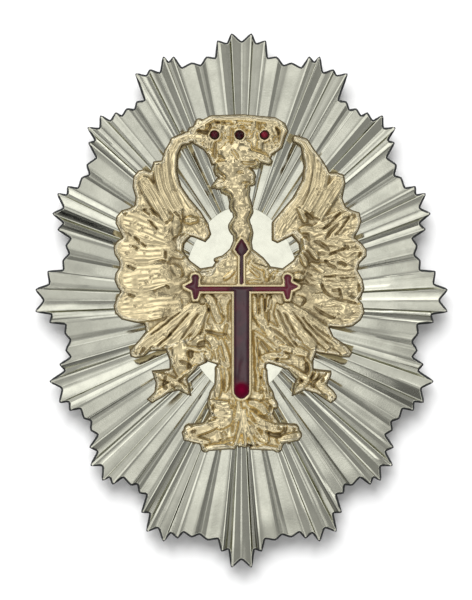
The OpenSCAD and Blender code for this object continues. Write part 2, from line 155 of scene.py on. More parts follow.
# A row for each ray from the long axis to the short one: tip x and y above the short axis, and below
rays = np.array([
    [10, 267, 10, 267], [24, 260, 20, 251], [35, 244, 34, 240], [50, 238, 50, 237],
    [68, 244, 64, 238], [78, 244, 78, 241], [92, 231, 95, 231], [106, 227, 100, 212],
    [105, 199, 102, 193], [115, 192, 111, 185], [126, 188, 129, 184], [141, 185, 139, 180],
    [154, 173, 151, 165], [153, 158, 152, 147], [155, 136, 151, 130], [160, 123, 158, 118],
    [174, 114, 172, 110], [184, 107, 182, 102], [189, 87, 192, 81], [184, 71, 182, 64],
    [176, 55, 176, 50], [179, 40, 177, 33], [194, 29, 192, 22], [206, 11, 206, 11],
]) * step
# Share of the way from each of six rays to the next at which the notch lies, and its share of the depth
notchShares = np.array([0.64, 0.5, 0.36, 0.32, 0.45, 0.68])
notchDepths = np.array([0.8, 1.6, 0.8, 0.7, 0.85, 0.7])
# The section across six rays: place counted in rays, share of the ridge's height, how many rays wide
# the facet has fallen from its ridge, and darkening at valleys and risers, tarnish and painted shade
raySection = np.array([
    [-0.1, 0.42, 0, 0.7], [-0.03, 1, 0, 0], [0.18, 1, 0, 0], [0.74, 1, 0.56, 0], [0.82, 1, 0.64, 0.8],
    [0.9, 1, 0, 0.1], [1.04, 1, 0, 0], [1.47, 1, 0.43, 0.1], [1.51, 1, 0.43, 0], [1.93, 1, 0, 0],
    [1.98, 1, 0, 0], [2.08, 1, 0.68, 0.8], [2.16, 1, 0.6, 0], [2.76, 1, 0, 0], [2.97, 1, 0, 0],
    [3.04, 0.42, 0, 0.7], [3.14, 0.42, 0, 0],
    [4.22, 0.42, 0, 0], [4.3, 0.3, 0, 0.35], [4.47, 0.02, 0, 0.3], [4.53, 0.02, 0, 0.3],
    [4.7, 0.3, 0, 0.35], [4.78, 0.42, 0, 0], [5.8, 0.42, 0, 0], [5.9, 0.42, 0, 0.6],
])
# How many rays wide the widest facet of each of a group's first three rays is
facetShares = (0.64, 0.43, 0.68)


# Tips all round, anticlockwise from just left of the long axis: the table mirrored for each quarter
def starTips():
    above, below = rays[:, :2], rays[:, 2:]
    return np.concatenate([above * [-1, 1], (below * [-1, -1])[::-1], below * [1, -1], above[::-1]])


# Outline point at each place counted in rays: the direction turns evenly from tip to tip, and the
# radius falls from a tip to the notch and rises to the next tip, part straight and part as a cosine
def starOutline(place):
    tips = starTips()
    index = np.floor(place).astype(int)
    share = place - index
    first, second = tips[index % len(tips)].T, tips[(index + 1) % len(tips)].T
    firstRadius, secondRadius = np.hypot(*first), np.hypot(*second)
    notchAt = notchShares[(index + 2) % 6]
    unlike = np.minimum(1, np.abs(firstRadius - secondRadius) / star["unlikeTips"])
    depth = star["notch"] * notchDepths[(index + 2) % 6] * (1 - star["unlikeLoss"] * unlike)
    rising = share > notchAt
    way = np.where(rising, (1 - share) / (1 - notchAt), share / notchAt)
    straight = star["straight"]
    eased = straight * way + (1 - straight) * (0.5 - 0.5 * np.cos(math.pi * way))
    radius = np.where(rising, secondRadius, firstRadius)
    radius += (np.minimum(firstRadius, secondRadius) - depth - radius) * eased
    turn = first / firstRadius * (1 - share) + second / secondRadius * share
    return (turn / np.hypot(*turn) * radius).T


# Where the line from an outline point to its own place on the long axis meets the flat middle's
# ellipse: the larger root of the line put into x^2/a^2 + y^2/b^2 = 1
def onFlat(points):
    half = np.array([star["flatHalfWidth"], star["flatHalfHeight"]])
    foot = points * [0, star["fanShare"]]
    way = points - foot
    qa = ((way / half) ** 2).sum(1)
    qb = 2 * (foot * way / half ** 2).sum(1)
    qc = ((foot / half) ** 2).sum(1) - 1
    return foot + way * ((-qb + np.sqrt(qb * qb - 4 * qa * qc)) / (2 * qa))[:, None]


# The star: a grid of columns round it and rings outwards. Each column's height is the dome's fall
# plus the ray section's share of a ridge that grows from the flat middle to the outline; then come
# the chamfer, the side, the back and the middle's two poles
def makeStar():
    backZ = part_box("star_plaque")[0].z
    flatZ = backZ + star["rim"] + star["dome"]
    count = 4 * len(rays)
    # Even columns, and one at each tip, notch and corner of the section
    within = np.unique(np.round(np.concatenate([
        np.arange(0, 6, 1 / star["columnsPerRay"]), np.arange(6), np.arange(6) + notchShares,
        raySection[:, 0] % 6]), 4))
    within = within[np.diff(within, append=within[0] + 6) >= star["closest"]]
    place = (within + 6 * np.arange(count // 6)[:, None]).ravel() - 2
    section = np.concatenate([raySection, raySection[:1] + [6, 0, 0, 0]])
    level, fall, creasePatinaAndShade = (
        np.interp((place + 2.1) % 6 - 0.1, section[:, 0], section[:, k]) for k in (1, 2, 3))
    outline = starOutline(place)
    inner = onFlat(outline)
    tangent = np.roll(outline, -1, 0) - np.roll(outline, 1, 0)
    normal = tangent[:, ::-1] * [1, -1] / np.hypot(*tangent.T)[:, None]
    reach = np.linspace(0, 1, star["rings"])[:, None]
    # A facet keeps one tilt all round, so it falls as far as its own ray is wide there
    tips = starTips()
    tilt = math.tan(math.radians(star["facetTilt"]))
    innerWidth, outerWidth = (np.hypot(*(np.roll(ends, -1, 0) - ends).T) for ends in (onFlat(tips), tips))
    rayWidth = innerWidth * (1 - reach) + outerWidth * reach
    drop = fall * tilt * rayWidth[:, np.floor(place).astype(int) % count]
    # The ridges of one group of four stand level, as high as the group's widest facet needs
    group = np.floor((place + 3.5) / 6).astype(int) * 6 - 2
    inNeed, outNeed = (
        np.max([share * width[(group + k) % count] for k, share in enumerate(facetShares)], 0)
        for width in (innerWidth, outerWidth))
    needed = tilt * (inNeed * (1 - reach) + outNeed * reach)
    ridge = np.minimum(star["ridgeMost"], needed + star["ridgeLeast"])
    edge = outline - normal * (star["lipInset"] + star["chamfer"])
    plan = inner * star["flatStep"] * (1 - reach[..., None]) + edge * reach[..., None]
    height = flatZ - star["dome"] * reach + np.maximum(0, ridge * level - drop)
    uneven = star["unevenness"] * lumps(plan[..., 0], plan[..., 1], star["unevenSize"], 5)
    height += uneven * np.minimum(1, reach * 6)
    lipZ = height[-1] - star["chamfer"]
    rings = np.concatenate([
        atHeight(inner * np.array([0.33, 0.66, 1])[:, None, None], flatZ), atHeight(plan, height), [
            atHeight(outline - normal * star["lipInset"], lipZ),
            atHeight(outline + normal * star["draft"] * 0.8, backZ + star["bevelFrom"] * (lipZ - backZ)),
            atHeight(outline + normal * star["draft"], backZ), atHeight(inner, backZ)]])
    points, faces = ringSkin(rings, [[0, 0, flatZ], [0, 0, backZ]])
    recess, side = np.zeros((2, *rings.shape[:2]))
    # Valleys and risers darkened from the section: tarnish and painted shade
    recess[3:-4] = creasePatinaAndShade
    # The side, foot and back are darkened in full: partly a duller back, partly painted shade under the badge
    recess[-4:] = 1
    # The upper side wall is painted near black: painted shade and a painted dark reflection along the outline
    side[-4:-2] = 1
    values = {"recess": np.append(recess, [0, 1]), "side": np.append(side, [0, 0])}
    print("star:", len(faces), "faces")
    made = meshObject("StarRays", points, faces, values, sharpAngle=11)
    return standFor(made, "star_plaque")


starRays = makeStar()


# The casting's measures, for its user to change. The close and wide pairs hold a blur in cells and the
# depth below it at which their darkening, patina and painted shade, is full; the shares are those of close
# hollows, wide hollows, walls, the strip beside the gold line and cuts; on walls it is painted shade
casting = {
    "cell": 0.1 * mm,
    "edge": 0.65 * mm,
    "web": 1.1 * mm,
    "covertRise": 0.1 * mm,
    "neckDrop": 0.25 * mm,
    "margin": 0.4 * mm,
    "bandRise": 0.2 * mm,
    "webRough": 0.12 * mm,
    "webRoughSize": 1.1 * mm,
    "webWorm": 0.06 * mm,
    "wormSize": 0.8 * mm,
    "lump": 0.9,
    "lumpSize": 1.15 * mm,
    "smallLump": 0.35,
    "smallLumpSize": 0.5 * mm,
    "wanderSize": 1.3 * mm,
    "unevenSize": 1.2 * mm,
    "streakSize": 0.3 * mm,
    "streakLength": 5,
    "crownWeb": 1.05 * mm,
    "crownWorm": 0.4 * mm,
    "collarTop": 1.5 * mm,
    "collarSlope": 1.2,
    "collarMiddle": 0.72 * mm,
    "collarReach": 1.2 * mm,
    "stoneHole": 0.53 * mm,
    "stoneFloor": 0.95 * mm,
    "frameHeight": 2.1 * mm,
    "frameWidth": 0.3 * mm,
    "frameRound": 0.05 * mm,
    "cellFloor": 1.32 * mm,
    "edgeRound": 0.3 * mm,
    "edgeDrop": 0.45 * mm,
    "edgeShadeReach": 0.36 * mm,
    "rimPlace": 0.34 * mm,
    "rimHalf": 0.11 * mm,
    "rimHeight": 0.06 * mm,
    "pitDepth": 0.1 * mm,
    "pitSize": 0.6 * mm,
    "pitFrom": 0.4,
    "pitSoft": 0.2,
    "cutDepth": 0.34 * mm,
    "cutWidth": 0.8,
    "cutStir": 0.1 * mm,
    "cutStirSize": 0.5 * mm,
    "stirLeft": 0.6,
    "stirRight": 2.4,
    "softness": 0.7,
    "valleyKept": 0.05 * mm,
    "thinnest": 0.3 * mm,
    "groundLevel": 0.9 * mm,
    "closePatinaAndShade": (2.0, 0.09 * mm),
    "widePatinaAndShade": (7.0, 0.3 * mm),
    "wallFrom": 0.5,
    "besideReach": 0.5 * mm,
    "patinaAndShadeShares": (0.7, 0.35, 0.45, 0.5, 0.75),
    "patinaAndShadeInMiddle": 0.12,
    "patinaAndShadeFullAt": 9 * mm,
    # Painted shade along the wing roots: its strength and half width
    "rootShade": 0.42,
    "rootShadeHalf": 0.85 * mm,
}


# A square grid of points over a node's box in the plane, with empty height and inside fields
def newRelief(node, margin, cell):
    lo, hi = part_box(node)
    x, y = np.meshgrid(
        np.arange(lo.x - margin, hi.x + margin, cell), np.arange(lo.y - margin, hi.y + margin, cell))
    far = np.full_like(x, 9 * mm)
    return SimpleNamespace(
        x=x, y=y, cell=cell, height=np.zeros_like(x), inside=-far, limit=far, cut=np.zeros_like(x))


# The part of the grid within a margin of some points, as a pair of slices
def window(relief, points, margin):
    corner = [relief.x[0, 0], relief.y[0, 0]]
    start = np.floor((points.min(0) - margin - corner) / relief.cell).astype(int)
    start = np.maximum(0, start)
    stop = np.ceil((points.max(0) + margin - corner) / relief.cell).astype(int) + 1
    stop = np.maximum(start, stop)
    return slice(start[1], stop[1]), slice(start[0], stop[0])


# Nearest place on a chain of points: on each link the projection is held between its ends, and the
# link that is nearest gives the place from 0 to 1, the distance, and the distance sideways, positive
# to the left of the link
def nearestOnChain(x, y, chain):
    linkX, linkY = np.diff(chain, axis=0).T
    px, py = x[..., None] - chain[:-1, 0], y[..., None] - chain[:-1, 1]
    share = held((px * linkX + py * linkY) / (linkX ** 2 + linkY ** 2))
    away = np.hypot(px - share * linkX, py - share * linkY)
    sideways = (linkX * py - linkY * px) / np.hypot(linkX, linkY)
    best = away.argmin(-1)[..., None]
    share, away, sideways = (np.take_along_axis(each, best, -1)[..., 0] for each in (share, away, sideways))
    return (best[..., 0] + share) / len(linkX), away, sideways


# Distance to a closed outline, positive inside it: the least distance to its edges, and inside is
# where a line to the right crosses an odd number of edges
def insideOutline(x, y, outline):
    away = nearestOnChain(x, y, np.concatenate([outline, outline[:1]]))[1]
    ends = np.roll(outline, -1, 0)
    py = y[..., None]
    spans = (outline[:, 1] > py) != (ends[:, 1] > py)
    run, rise = (ends - outline).T
    crossing = outline[:, 0] + (py - outline[:, 1]) / np.where(rise == 0, 1e-12, rise) * run
    odd = (spans & (x[..., None] < crossing)).sum(-1) % 2 == 1
    return np.where(odd, away, -away)


# How the parts of the casting are worked: roundness and fullness of the section, pitch and depth of
# the grooves along it, how far these wander, how uneven they are and how dark, patina and painted shade,
# depth of the fine streaks, how much one edge stands above the other, and how lumpy and wormy it is
plainFinish = {
    "full": 0.5, "groove": 0, "lap": 0, "worm": 0, "wander": 0.12 * mm, "uneven": 0.2, "dark": 0,
}
finishes = {
    "plume": {"round": 5, "pitch": 0.44 * mm, "groove": 0.1 * mm, "streak": 0.012 * mm, "lap": 0.06,
              "lump": 0.035 * mm, "dark": 0.5, "uneven": 0.5},
    "plate": {"round": 9, "pitch": 0.66 * mm, "groove": 0.034 * mm, "streak": 0.008 * mm, "lap": 0.34,
              "lump": 0.05 * mm},
    "wavy": {"round": 9, "pitch": 0.84 * mm, "groove": 0.2 * mm, "streak": 0.006 * mm, "lap": 0.3,
             "lump": 0.05 * mm, "wander": 0.4 * mm, "dark": 1, "uneven": 1.2},
    "covert": {"round": 3, "full": 1, "pitch": 0.62 * mm, "streak": 0.02 * mm, "lump": 0.09 * mm,
               "worm": 0.03 * mm},
    "fold": {"round": 4.5, "full": 0.7, "pitch": 0.6 * mm, "groove": 0.01 * mm, "streak": 0.012 * mm,
             "lap": 0.2, "lump": 0.07 * mm, "worm": 0.02 * mm},
    "band": {"round": 4, "pitch": 0.42 * mm, "groove": 0.09 * mm, "streak": 0.014 * mm,
             "lump": 0.05 * mm, "dark": 0.5, "uneven": 0.6},
    "hoop": {"round": 3, "full": 0.6, "pitch": 0.9 * mm, "streak": 0.01 * mm, "lump": 0.07 * mm},
    "limb": {"round": 3, "full": 0.7, "pitch": 0.7 * mm, "streak": 0.014 * mm, "lump": 0.14 * mm,
             "worm": 0.03 * mm},
}


# Lays a form on the relief: where it is higher, its height and its patina and painted shade count
def layOn(relief, part, inside, height, creasePatinaAndShade):
    over = (inside > 0) & (height > relief.height[part])
    relief.height[part] = np.where(over, height, relief.height[part])
    relief.cut[part] = np.where(over, creasePatinaAndShade, relief.cut[part])
    relief.inside[part] = np.maximum(relief.inside[part], inside)


# Raises a stroke on the relief. Across it, with u the distance over the half width, the height is
# edge + crest (1 - |u|^round)^full, less narrow grooves, the cube of a raised cosine, plus streaks of
# noise drawn out along the stroke, lumps, worms and a slope from side to side
def drawStroke(relief, chain, half, crest, edge, kind, phase=0.0, stir=1.0):
    finish = {**plainFinish, **finishes[kind]}
    part = window(relief, chain, half.max() + casting["margin"])
    x, y = relief.x[part], relief.y[part]
    place, away, sideways = nearestOnChain(x, y, chain)
    marks = np.linspace(0, 1, len(chain))
    width, tall = np.interp(place, marks, half), np.interp(place, marks, crest)
    length = np.hypot(*np.diff(chain, axis=0).T).sum()
    across = sideways + finish["wander"] * lumps(x, y, casting["wanderSize"], 31)
    body = (1 - held(away / width) ** finish["round"]) ** finish["full"]
    groove = (0.5 + 0.5 * np.cos(2 * math.pi * (across / finish["pitch"] + phase))) ** 3
    groove *= held(0.9 + finish["uneven"] * lumps(x, y, casting["unevenSize"], 37))
    drawn = place * length / casting["streakLength"] + phase * mm
    streak = finish["streak"] * roughness(drawn, across, casting["streakSize"], 53)
    height = edge + tall * body * (1 + finish["lap"] * sideways / width)
    height += (streak - finish["groove"] * groove) * np.minimum(1, body * 1.5)
    swell = casting["lump"] * lumps(x, y, casting["lumpSize"], 11)
    swell += casting["smallLump"] * lumps(x, y, casting["smallLumpSize"], 12)
    worm = finish["worm"] * worms(x, y, casting["wormSize"], 71)
    height += stir * (finish["lump"] * swell + worm) * body
    layOn(relief, part, np.minimum(width - away, relief.limit[part]), height, finish["dark"] * groove)


# Raises a web on the relief inside an outline, level but for roughness and worms
def drawWeb(relief, outline, height, worm=casting["webWorm"]):
    part = window(relief, outline, casting["margin"])
    x, y = relief.x[part], relief.y[part]
    level = height + casting["webRough"] * roughness(x, y, casting["webRoughSize"], 23)
    level += worm * worms(x, y, casting["wormSize"], 71)
    layOn(relief, part, insideOutline(x, y, outline), level, relief.cut[part])


# A table's points in the plane, mirrored for the left half
def placed(rows, mirror=1):
    return np.array(rows, float) * [mirror, 1] * step


# Points of the quadratic curve of a row's root, bend and tip, at shares t of its way
def curve(ends, t):
    return np.stack([(1 - t) ** 2, 2 * t * (1 - t), t ** 2], 1) @ ends


# How feathers swell and shrink: place along them, share of their width and share of their crest
plumeShape = np.array([[0, 0.75, 0.85], [0.45, 1, 1], [0.8, 1, 0.92], [1, 0.8, 0.75]]).T


# Feathers: each row is a curve's root, bend and tip with its half width and crest; the end is rounded
# off within its length
def drawPlumes(relief, rows, edge, kind, mirror=1, stir=1.0):
    along = np.linspace(0, 1, 16)
    for row in rows:
        ends = placed(np.reshape(row[:6], (3, 2)), mirror)
        half, crest = row[6] * step, row[7] * step
        roundEnd = 0.75 * half / np.hypot(*np.diff(ends, axis=0).T).sum()
        chain = curve(ends, along * (1 - roundEnd))
        half, crest = (size * np.interp(along, plumeShape[0], shape)
                       for size, shape in zip((half, crest), plumeShape[1:]))
        drawStroke(relief, chain, half, crest, edge, kind, row[0] * 0.13, stir)


# A band through a table's sections: between them x, y, width and top run straight, and it stands at
# least the band's rise above its edge
def drawBand(relief, rows, edge, kind, mirror=1):
    place = np.linspace(0, len(rows) - 1, 5 * len(rows) - 4)
    x, y, half, crest = (np.interp(place, np.arange(len(rows)), column) for column in zip(*rows))
    crest = np.maximum(0, crest * step - edge) + casting["bandRise"]
    drawStroke(relief, placed(np.stack([x, y], 1), mirror), half * step, crest, edge, kind)


# Knobs: each a half ball on a short stem, as a stroke of almost no length
def drawKnobs(relief, rows, edge, mirror=1):
    size = np.ones(2) * step
    for x, y, half, crest in rows:
        chain = placed([[x, y], [x + 0.01 * mirror, y]], mirror)
        drawStroke(relief, chain, half * size, crest * size - edge, edge, "limb")


# Lowers the relief along cuts, quadratic curves: by depth (1 - u^2), u the distance over half width
def drawCuts(relief, rows, mirror):
    for row in rows:
        chain = curve(placed(np.reshape(row[:6], (3, 2)), mirror), np.linspace(0, 1, 9))
        stirred = [lumps(*chain.T, casting["cutStirSize"], seed) for seed in (81, 82)]
        chain += casting["cutStir"] * np.stack(stirred, 1)
        half = casting["cutWidth"] * row[6] * step
        part = window(relief, chain, half)
        place, away = nearestOnChain(relief.x[part], relief.y[part], chain)[:2]
        taper = held(4 * np.minimum(place, 1 - place) + 0.4)
        cut = held(1 - (away / half / taper) ** 2)
        relief.height[part] -= casting["cutDepth"] * cut
        # The cut is darkened too: patina and painted shade
        relief.cut[part] = np.maximum(relief.cut[part], cut)
# The casting's tables, in steps from the middle; the left half's are mirrored. An outline's columns are
# x and y. A feather's or a fold's are the x and y of its root, bend and tip, its half width and its
# crest above its edge; a band's and a knob's are x, y, half width and top above the back
wing = [
    [62, 92, 80, 118, 75, 150, 5, 4], [68, 90, 84, 112, 84, 136, 5, 4],
    [76, 84, 88, 104, 100, 123, 8, 4], [78, 66, 100, 76, 120, 82, 15, 2.5],
    [76, 52, 100, 52, 124, 51, 15, 2.5], [74, 26, 98, 24, 122, 20, 15.5, 2.5],
    [70, -4, 96, -6, 124, -9, 15, 2.5], [46, -6, 76, -26, 107, -52, 8, 4],
    [40, -8, 62, -28, 88, -48, 6, 4], [34, -6, 52, -28, 74, -48, 6, 4], [31, 2, 36, -22, 52, -42, 4, 4],
]
wingRoot = [[66, 70], [67, 40], [65, 8], [76, -18]]
leftCoverts = [
    [62, 91, 66, 80, 66, 62, 6, 4], [46, 80, 52, 81, 58, 79, 5, 6], [60, 44, 66, 46, 73, 51, 4.5, 3],
    [62, 26, 65, 31, 71, 36, 6, 3.5], [74, 41, 77, 46, 79, 52, 4, 2.5], [72, 22, 76, 28, 80, 33, 4, 2.5],
    [70, 77, 74, 72, 77, 66, 4, 2.5], [56, 18, 66, 14, 76, 12, 8, 1.5],
]
rightCoverts = [
    [57, 91, 62, 86, 64, 77, 4, 4], [60, 70, 66, 73, 74, 68, 5, 3], [63, 60, 64, 56, 66, 49, 5, 4],
    [67, 52, 72, 48, 77, 40, 4, 4], [60, 45, 63, 40, 65, 33, 4, 4], [70, 36, 77, 34, 84, 28, 4, 4],
    [53, 24, 58, 25, 63, 22, 5, 4], [56, 10, 64, 12, 72, 4, 7, 2],
]
leftWing = [
    [50, 165], [62, 164], [71, 160], [77, 150], [80, 140], [88, 139], [91, 129], [97, 131], [103, 130],
    [108, 124], [109, 113], [106, 103], [107, 95], [113, 92], [120, 90], [125, 84], [126, 77], [122, 69],
    [119, 63], [124, 60], [128, 54], [127, 46], [122, 38], [122, 33], [126, 27], [127, 20], [124, 13],
    [121, 9], [125, 3], [128, -6], [126, -13], [120, -19], [108, -22], [97, -24], [96, -31], [103, -40],
    [112, -50], [111, -56], [105, -58], [97, -56], [91, -51], [76, -50], [50, -40], [30, -20], [40, 10],
    [46, 30], [52, 38], [60, 49], [61, 59], [58, 65], [48, 63], [36, 58], [30, 66], [33, 76], [38, 84],
    [51, 97], [61, 109], [65, 128], [64, 147], [59, 154], [50, 156],
]
rightWing = [
    [52, 166], [65, 162], [72, 152], [82, 139], [88, 128], [95, 128], [102, 126], [104, 117], [101, 102],
    [104, 94], [111, 90], [118, 88], [120, 79], [117, 70], [113, 63], [119, 58], [125, 51], [125, 44],
    [118, 37], [116, 30], [121, 21], [123, 12], [120, 4], [117, 1], [121, -3], [123, -12], [119, -20],
    [111, -26], [100, -28], [88, -27], [92, -36], [104, -44], [111, -52], [108, -57], [100, -57],
    [92, -55], [77, -53], [50, -40], [30, -20], [38, 10], [38, 30], [51, 38], [60, 50], [60, 59],
    [54, 66], [36, 57], [30, 60], [30, 78], [40, 90], [51, 103], [60, 120], [62, 134], [59, 152],
]
leadingEdge = [
    [54, 161, 4, 8], [63, 157, 5, 9], [69, 146, 6, 9], [71, 128, 7, 9], [67, 112, 7, 9],
    [58, 97, 8, 9], [48, 84, 9, 9], [40, 73, 8, 8], [37, 66, 6, 8],
]
breastRim = [[54, 66, 4, 6], [61, 58, 4, 7], [62, 48, 4, 7], [54, 37, 4, 7], [42, 28, 4, 6], [30, 30, 4, 6]]
foot = [
    [78, -44], [72, -60], [72, -68], [80, -69], [90, -70], [86, -82], [87, -91], [95, -99], [89, -103],
    [74, -93], [63, -90], [50, -96], [52, -84], [54, -79], [43, -66], [34, -62], [44, -34],
]
tailWeb = [
    [-4, -108], [31, -112], [38, -122], [53, -123], [60, -132], [58, -140], [43, -143], [37, -152],
    [25, -148], [13, -144], [-4, -147],
]
leftBody = [
    [8, 29, 12, 25, 18, 21, 2.5, 3], [18, 37, 20, 36, 23, 36, 3, 2], [10, 44, 18, 42, 28, 40, 3, 2],
    [34, 4, 25, -6, 22, -24, 6, 4], [44, -22, 38, -29, 30, -27, 6, 3], [60, -46, 48, -50, 34, -48, 3, 3],
    [33, -37, 24, -41, 28, -50, 6, 4], [33, -52, 33, -56, 33, -60, 5, 4],
    [20, -40, 15, -54, 12, -67, 3.5, 4], [26, -52, 22, -61, 14, -68, 3, 3],
    [15, -70, 13, -80, 17, -92, 3, 3], [24, -68, 22, -84, 25, -97, 4, 3],
    [62, -42, 60, -58, 62, -75, 9, 3], [63, -78, 54, -71, 43, -64, 2.5, 5],
    [62, -77, 66, -67, 71, -56, 2, 4], [66, -80, 76, -77, 86, -73, 4, 5],
    [66, -82, 76, -88, 89, -99, 5, 5], [64, -82, 58, -86, 52, -93, 3, 5],
    [12, -103, 22, -105, 32, -100, 5, 4], [7, -111, 20, -113, 31, -112, 6, 5],
    [8, -116, 14, -122, 26, -127, 5, 5], [20, -120, 36, -128, 56, -133, 6, 5],
    [8, -146, 22, -144, 37, -148, 4, 5], [34, -141, 46, -139, 57, -136, 4, 5],
]
rightBody = [
    [8, 37, 12, 40, 9, 45, 2.5, 3], [10, 37, 18, 32, 27, 32, 2.5, 3], [9, 31, 14, 27, 18, 23, 2, 2],
    [8, 18, 14, 18, 21, 18, 3, 2], [24, 30, 26, 25, 25, 19, 3, 3], [12, 4, 14, -4, 14, -19, 4, 4],
    [20, 4, 19, -8, 22, -21, 3, 4], [27, 4, 28, -4, 24, -12, 3, 4], [14, -14, 22, -22, 32, -38, 6, 3],
    [27, -24, 40, -34, 52, -46, 5, 4], [13, -32, 24, -39, 35, -50, 3, 4],
    [13, -36, 16, -53, 14, -70, 2.5, 4], [21, -57, 34, -52, 48, -57, 4, 4],
    [40, -47, 54, -49, 67, -54, 5, 4], [23, -60, 35, -61, 51, -69, 3, 4],
    [49, -67, 60, -75, 68, -80, 4, 5], [64, -58, 72, -66, 67, -77, 2.5, 5],
    [75, -71, 76, -75, 70, -79, 2.5, 5], [87, -73, 84, -81, 74, -82, 4, 5],
    [76, -84, 86, -90, 94, -99, 5, 5], [64, -82, 58, -86, 53, -93, 4, 5],
    [15, -71, 18, -80, 15, -91, 3, 3], [23, -70, 22, -84, 26, -96, 4, 3],
    [9, -102, 19, -103, 25, -114, 5, 5], [24, -98, 32, -99, 35, -108, 4, 4],
    [11, -112, 20, -125, 37, -126, 4, 5], [11, -122, 24, -131, 41, -130, 3, 5],
    [7, -118, 12, -136, 27, -141, 4, 4], [21, -127, 25, -134, 26, -141, 3, 4],
    [38, -139, 50, -136, 60, -134, 5, 5], [10, -147, 22, -146, 37, -148, 3, 4],
]
stem = [
    [-3, -100, -4, -110, -4, -122, 4, 4], [0, -109, 1, -126, -8, -147, 3, 5],
    [3, -109, 4, -128, 14, -147, 3, 5], [1, -116, 3, -132, 4, -147, 3, 5],
]
knobs = [[66, -81, 6, 10], [52, -129, 6, 10], [36, -147, 5, 9]]
neck = [
    [-4, 140, 24, 13], [-8, 133, 20, 14], [-5, 126, 16, 14], [-4, 120, 18, 14], [-5, 114, 17, 13],
    [-3, 109, 12.5, 12], [-1.5, 103, 10, 12], [-1, 95, 12, 13], [1, 89, 11, 13], [0, 82, 8.6, 12],
    [-1.5, 74, 12, 13], [1.5, 67, 10.5, 12], [1, 59, 9.5, 12], [0, 50, 12, 11], [-2, 38, 20, 9],
]
head = [
    [-23, 136, -13, 137, -4, 134, 5, 11], [-16, 128, -8, 126, 2, 122, 6, 10],
    [3, 131, 9, 127, 13, 121, 5, 9], [-24, 114, -15, 117, -4, 117, 5, 10],
    [-6, 114, 2, 112, 6, 107, 6, 10], [2, 119, 8, 118, 14, 117, 4, 8],
]
beak = [[-12, 121, 6, 13], [-22, 118, 5, 11], [-29, 113, 2, 7]]
crown = [
    [-55, 162], [-50, 171], [-42, 178], [-34, 183], [-13, 185], [2, 186], [34, 183], [44, 177], [47, 169],
    [43, 160], [41, 152], [31, 145], [27, 136], [0, 139], [-30, 135], [-33, 143], [-38, 150], [-48, 156],
]
upperHoop = [
    [-51, 163, 3, 8], [-45, 173, 4, 10], [-30, 181, 4, 11], [0, 182, 4, 11], [32, 179, 4, 11],
    [42, 170, 4, 10], [38, 156, 4, 9],
]
rimHoop = [
    [-1, 150, 3, 11], [4, 148, 5, 12], [14, 145, 6, 13], [22, 142, 6, 13], [27, 139, 4, 12],
]
crownBosses = [
    [-22, 174, 5, 11], [11, 174, 5, 11], [-7, 178, 4, 11], [-42, 177, 5, 10], [-49, 169, 5, 9],
    [-38, 154, 3, 10], [-31, 146, 3, 11], [-14, 146, 7, 12], [-12, 156, 5, 11], [5, 157, 4, 11],
    [18, 157, 4, 11], [29, 162, 5, 11], [28, 154, 4, 11],
]
bridge = [[-40, 164, 6, 9], [-54, 163, 6, 8], [-66, 158, 6, 8]]
stones = [[-27, 165], [-2, 165], [23, 165]]
breast = [
    [0, 54], [12, 51], [22, 43], [28, 36], [32, 28], [42, 29], [52, 38], [64, 46], [68, 0], [60, -30],
    [46, -50], [34, -61], [25, -64], [24, -78], [32, -91], [35, -103], [31, -116], [0, -116],
]
# Cuts that only the finer surface shows: start, bend and end of a curve, and its half width
leftCuts = [
    [98, 91, 95, 88, 91, 85, 1.4], [92, 80, 88, 75, 84, 71, 1.2], [107, 64, 104, 60, 102, 57, 1.5],
    [100, 57, 98, 56, 95, 54, 1.2], [109, 54, 106, 53, 103, 51, 1.4], [114, 35, 110, 33, 106, 31, 1.2],
    [113, 7, 109, 5, 106, 4, 1.6], [119, 90, 117, 88, 115, 86, 1.4], [60, 68, 56, 66, 52, 65, 2],
    [76, 49, 76, 45, 75, 41, 1.6], [90, 92, 86, 87, 82, 83, 1.2], [67, 88, 62, 84, 60, 80, 1.4],
    [45, 90, 43, 86, 40, 82, 1.6], [38, 84, 36, 79, 34, 74, 1.4], [75, 15, 74, 13, 73, 11, 1.8],
    [52, -12, 62, -24, 74, -36, 1.2], [42, -12, 50, -24, 60, -38, 1.3], [62, -12, 74, -22, 90, -34, 1.3],
    [32, -6, 34, -20, 42, -34, 1.4], [98, -46, 98, -50, 100, -53, 2], [84, -46, 78, -40, 70, -32, 1.3],
]
rightCuts = [
    [64, 86, 69, 81, 77, 80, 2.8], [73, 59, 80, 57, 87, 50, 3.2], [83, 39, 88, 35, 94, 32, 2.4],
    [96, 38, 101, 36, 105, 35, 2.2], [80, 17, 81, 8, 92, 3, 1.6], [92, 3, 104, 0, 117, -3, 1.4],
    [98, 23, 105, 22, 113, 23, 1.4], [82, 24, 88, 23, 94, 24, 1.3], [97, 12, 98, 6, 101, 2, 1.4],
    [116, 16, 119, 12, 117, 8, 1.4], [61, 4, 65, 0, 60, -5, 1.8], [73, -6, 82, -14, 92, -18, 2.4],
    [103, 55, 106, 54, 107, 51, 1.8], [82, 72, 92, 80, 99, 88, 1.3], [84, 62, 88, 68, 96, 76, 2.2],
    [119, 48, 119, 45, 117, 42, 1.4], [88, 46, 96, 48, 104, 52, 1.4], [112, 87, 113, 84, 112, 82, 1.6],
    [42, -12, 50, -30, 60, -42, 1.5], [52, -12, 66, -34, 86, -52, 1.4], [60, -16, 74, -34, 92, -46, 1.3],
    [70, -24, 82, -34, 100, -44, 1.3], [36, -8, 41, -26, 56, -46, 1.6],
    [98, -42, 104, -46, 107, -51, 1.5], [66, 28, 64, 26, 70, 24, 2], [94, 66, 102, 74, 108, 84, 1.3],
]
